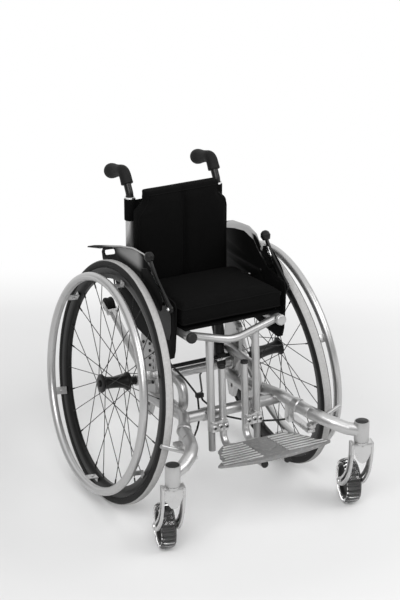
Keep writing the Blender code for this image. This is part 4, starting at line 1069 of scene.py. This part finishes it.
def build_back_sling():
    """Flat web between the uprights with a sleeve round each at its top, given a thin wall."""
    web = slab([(-SPAN, 0.5205), (SPAN, 0.5205), (SPAN, 0.7098), (-SPAN, 0.7098)], 0.0018, (), 0.0004)
    web = moved(web, axes((0, BACK_LINE.y - 0.0009, 0), (1, 0, 0), (0, 0, 1), (0, 1, 0)))
    ring = tenths((113, 6620), (134, 6620), (138, 6626), (138, 7147), (134, 7153), (113, 7153))
    sleeves = [lathe(ring, (side * BACK_LINE.x, BACK_LINE.y, 0), steps=36) for side in (-1, 1)]
    cloth = joined([web] + sleeves)
    sheet = single(cloth, "back_sling_cloth", "backrest", "fabric", "back_sling", angle=50)


def dressed(node, body, look):
    """The node's own solid with its facets welded, its edges rounded over and its faces shaded smooth."""
    piece = edit(tempered(node), lambda: bpy.ops.mesh.dissolve_limited(angle_limit=radians(1.0)))
    return carried(smooth(eased(piece, 0.0006), 35), "look_" + node, body, look, node)


# cables and trim
def build_cables():
    for s, route in CABLES.items():
        line = [p + SHIFT for p in bent(route, 0.012, 9)]
        length = sum((b - a).length for a, b in zip(line, line[1:]))
        cable = smooth(pipe(line, CABLE_R, 12), 60)
        if s == "r":
            clip = brick((0.0190, 0.0120, 0.0110), (-0.0560, -0.1490, 0.2880), 0.0015)
            single(clip, "cable_clip", "frame", "black_plastic")
        carried(cable, "brake_hose_" + s, "frame", "black_plastic", "brake_cable_" + s)


def build_guards():
    """Guard inlays, fender strips on spacers outside the levers, slotted link on the left lever."""
    outline = tenths(
        (-1700, 5350), (-1300, 5450), (-600, 5480), (-200, 5400), (-40, 5200), (-80, 4900), (-300, 4680),
        (-800, 4550), (-1400, 4500), (-1720, 4580), (-1800, 4800), (-1800, 5200))
    inlay = moved(slab(outline, 0.0014, (), 0.0005), sideways(0.1449))
    both(inlay, "guard_inlay", "frame", "black_plastic")
    outline = tenths(
        (-560, 5780), (-600, 5990), (-820, 6070), (-1000, 6050), (-1165, 5985), (-1460, 5810), (-1580, 5680),
        (-1645, 5540), (-1640, 5330), (-1560, 5260), (-1300, 5300), (-900, 5480))
    strip = moved(slab(outline, 0.0020, (), 0.0005), sideways(0.1603))
    places = ((-0.1480, 0.5400), (-0.1000, 0.5600))
    spacers = [rod((0.1436, y, z), (0.1610, y, z), 0.0042, 20) for y, z in places]
    both(joined([strip] + spacers), "guard_fin", "frame", "guard_gloss")
    outline = stadium(-0.1170, 0.5952, -0.1030, 0.6108, 0.0042)
    link = slab(outline, 0.0028, [stadium(-0.1150, 0.5974, -0.1080, 0.6052, 0.0016)], 0.0004)
    single(moved(link, sideways(0.1481)), "lever_link", "wheel_lock_l", "bright")


def build_plate_trim():
    """Outer ends of the footplate's ribs, and the rolled edge along its front."""
    edge = tenths(
        (-1120, 1312, 152), (-700, 1396, 152), (-250, 1440, 152), (250, 1440, 152), (700, 1396, 152),
        (1120, 1312, 152))
    trim = [pipe(edge, 0.0017, 12)]
    solid = 0.098  # half the length of the ribs that the CAD has
    for y, out in ((0.066, 0.112), (0.080, 0.113), (0.094, 0.117), (0.108, 0.133), (0.122, 0.135)):
        size, centre = (out - solid, 0.0048, 0.0035), (out + solid) / 2
        trim += [brick(size, (side * centre, y, 0.0170), 0.0006) for side in (1, -1)]
    place = Matrix.Translation(FOOT_HINGE) @ Matrix.Rotation(-PLATE_TILT, 4, "X")
    place = place @ Matrix.Rotation(pi, 4, "Z")
    single(moved(joined(trim), place), "plate_trim", "foot_plate", "plate_alloy")


def build_trim():
    """Screws and washers of the frame, guards and brakes."""
    out, ahead = (1, 0, 0), (0, -1, 0)
    places = [(HOLES_Y + 0.018, HOLE_TOP - HOLE_PITCH * k, 0.0038, 0.0026) for k in range(4)]
    places += [(y, z, 0.0044, 0.0028) for y, z in ((0.024, 0.372), (0.024, 0.285), (-0.026, 0.285))]
    plugs = [bolt((AXLE_PLATE_OUT, y, z), out, radius, height) for y, z, radius, height in places]
    both(joined(plugs), "plate_bolts", "frame", "black_plastic")
    screws = [
        bolt((0.1450, -0.030, 0.517), out, 0.0046, 0.0022),
        bolt((0.1450, -0.085, 0.547), out, 0.0046, 0.0022),
        bolt((0.1570, -0.1900, 0.5430), out, 0.0048, 0.0030),
        bolt((HANGER_X, -0.2146, 0.2613), ahead, 0.0034, 0.0028),
        bolt((0.0740, -0.0158, 0.3040), ahead, 0.0030, 0.0024),
        brick((0.0238, 0.0318, 0.0066), (0.0740, 0, 0.3015)),
    ]
    both(joined(screws), "frame_screws", "frame", "bright")


# all together
set_camera()
lay_floor()
light_room()
FINISHES = {
    "silver": silver_paint(), "bare_alloy": bare_alloy(), "bright": polished_steel(),
    "black_metal": black_anodised(), "black_plastic": black_plastic(), "guard_gloss": guard_gloss(),
    "black_rubber": soft_rubber(), "clear_urethane": clear_urethane(), "fabric": woven_cloth("black_cloth"),
    "welt": woven_cloth("black_welt", 0.0032), "plate_alloy": plate_alloy(), "dull_alloy": dull_alloy(),
}
for build in (build_cables, build_wheels, build_casters, build_caster_arms, build_side_frames, build_foot_end,
              build_back, build_grips, build_seat_pad, build_back_pad, build_back_sling, build_guards,
              build_plate_trim, build_trim):
    build()

# the CAD nodes that no piece stands for; some have another finish than their slot's
slots = {row["node"]: row["material_slot"] for row in frame["record"]["subparts"]}
# painted highlight: rail_cap_l takes the silver paint instead of its slot's finish, so that one cap shows
# light
own_finish = {
    "side_guard": "guard_gloss", "footplate": "plate_alloy", "post_clamp": "black_metal",
    "brake_unit": "bare_alloy", "rail_cap_l": "silver", "axle_pin": "black_metal",
}
stood_for = {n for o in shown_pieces() for n in o.get("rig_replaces", [])}
for body, members in frame["record"]["behaviour"]["bodies"].items():
    for node in members:
        if node not in stood_for:
            look = own_finish.get(node) or own_finish.get(node.rsplit("_", 1)[0]) or slots[node]
            piece = dressed(node, body, look)
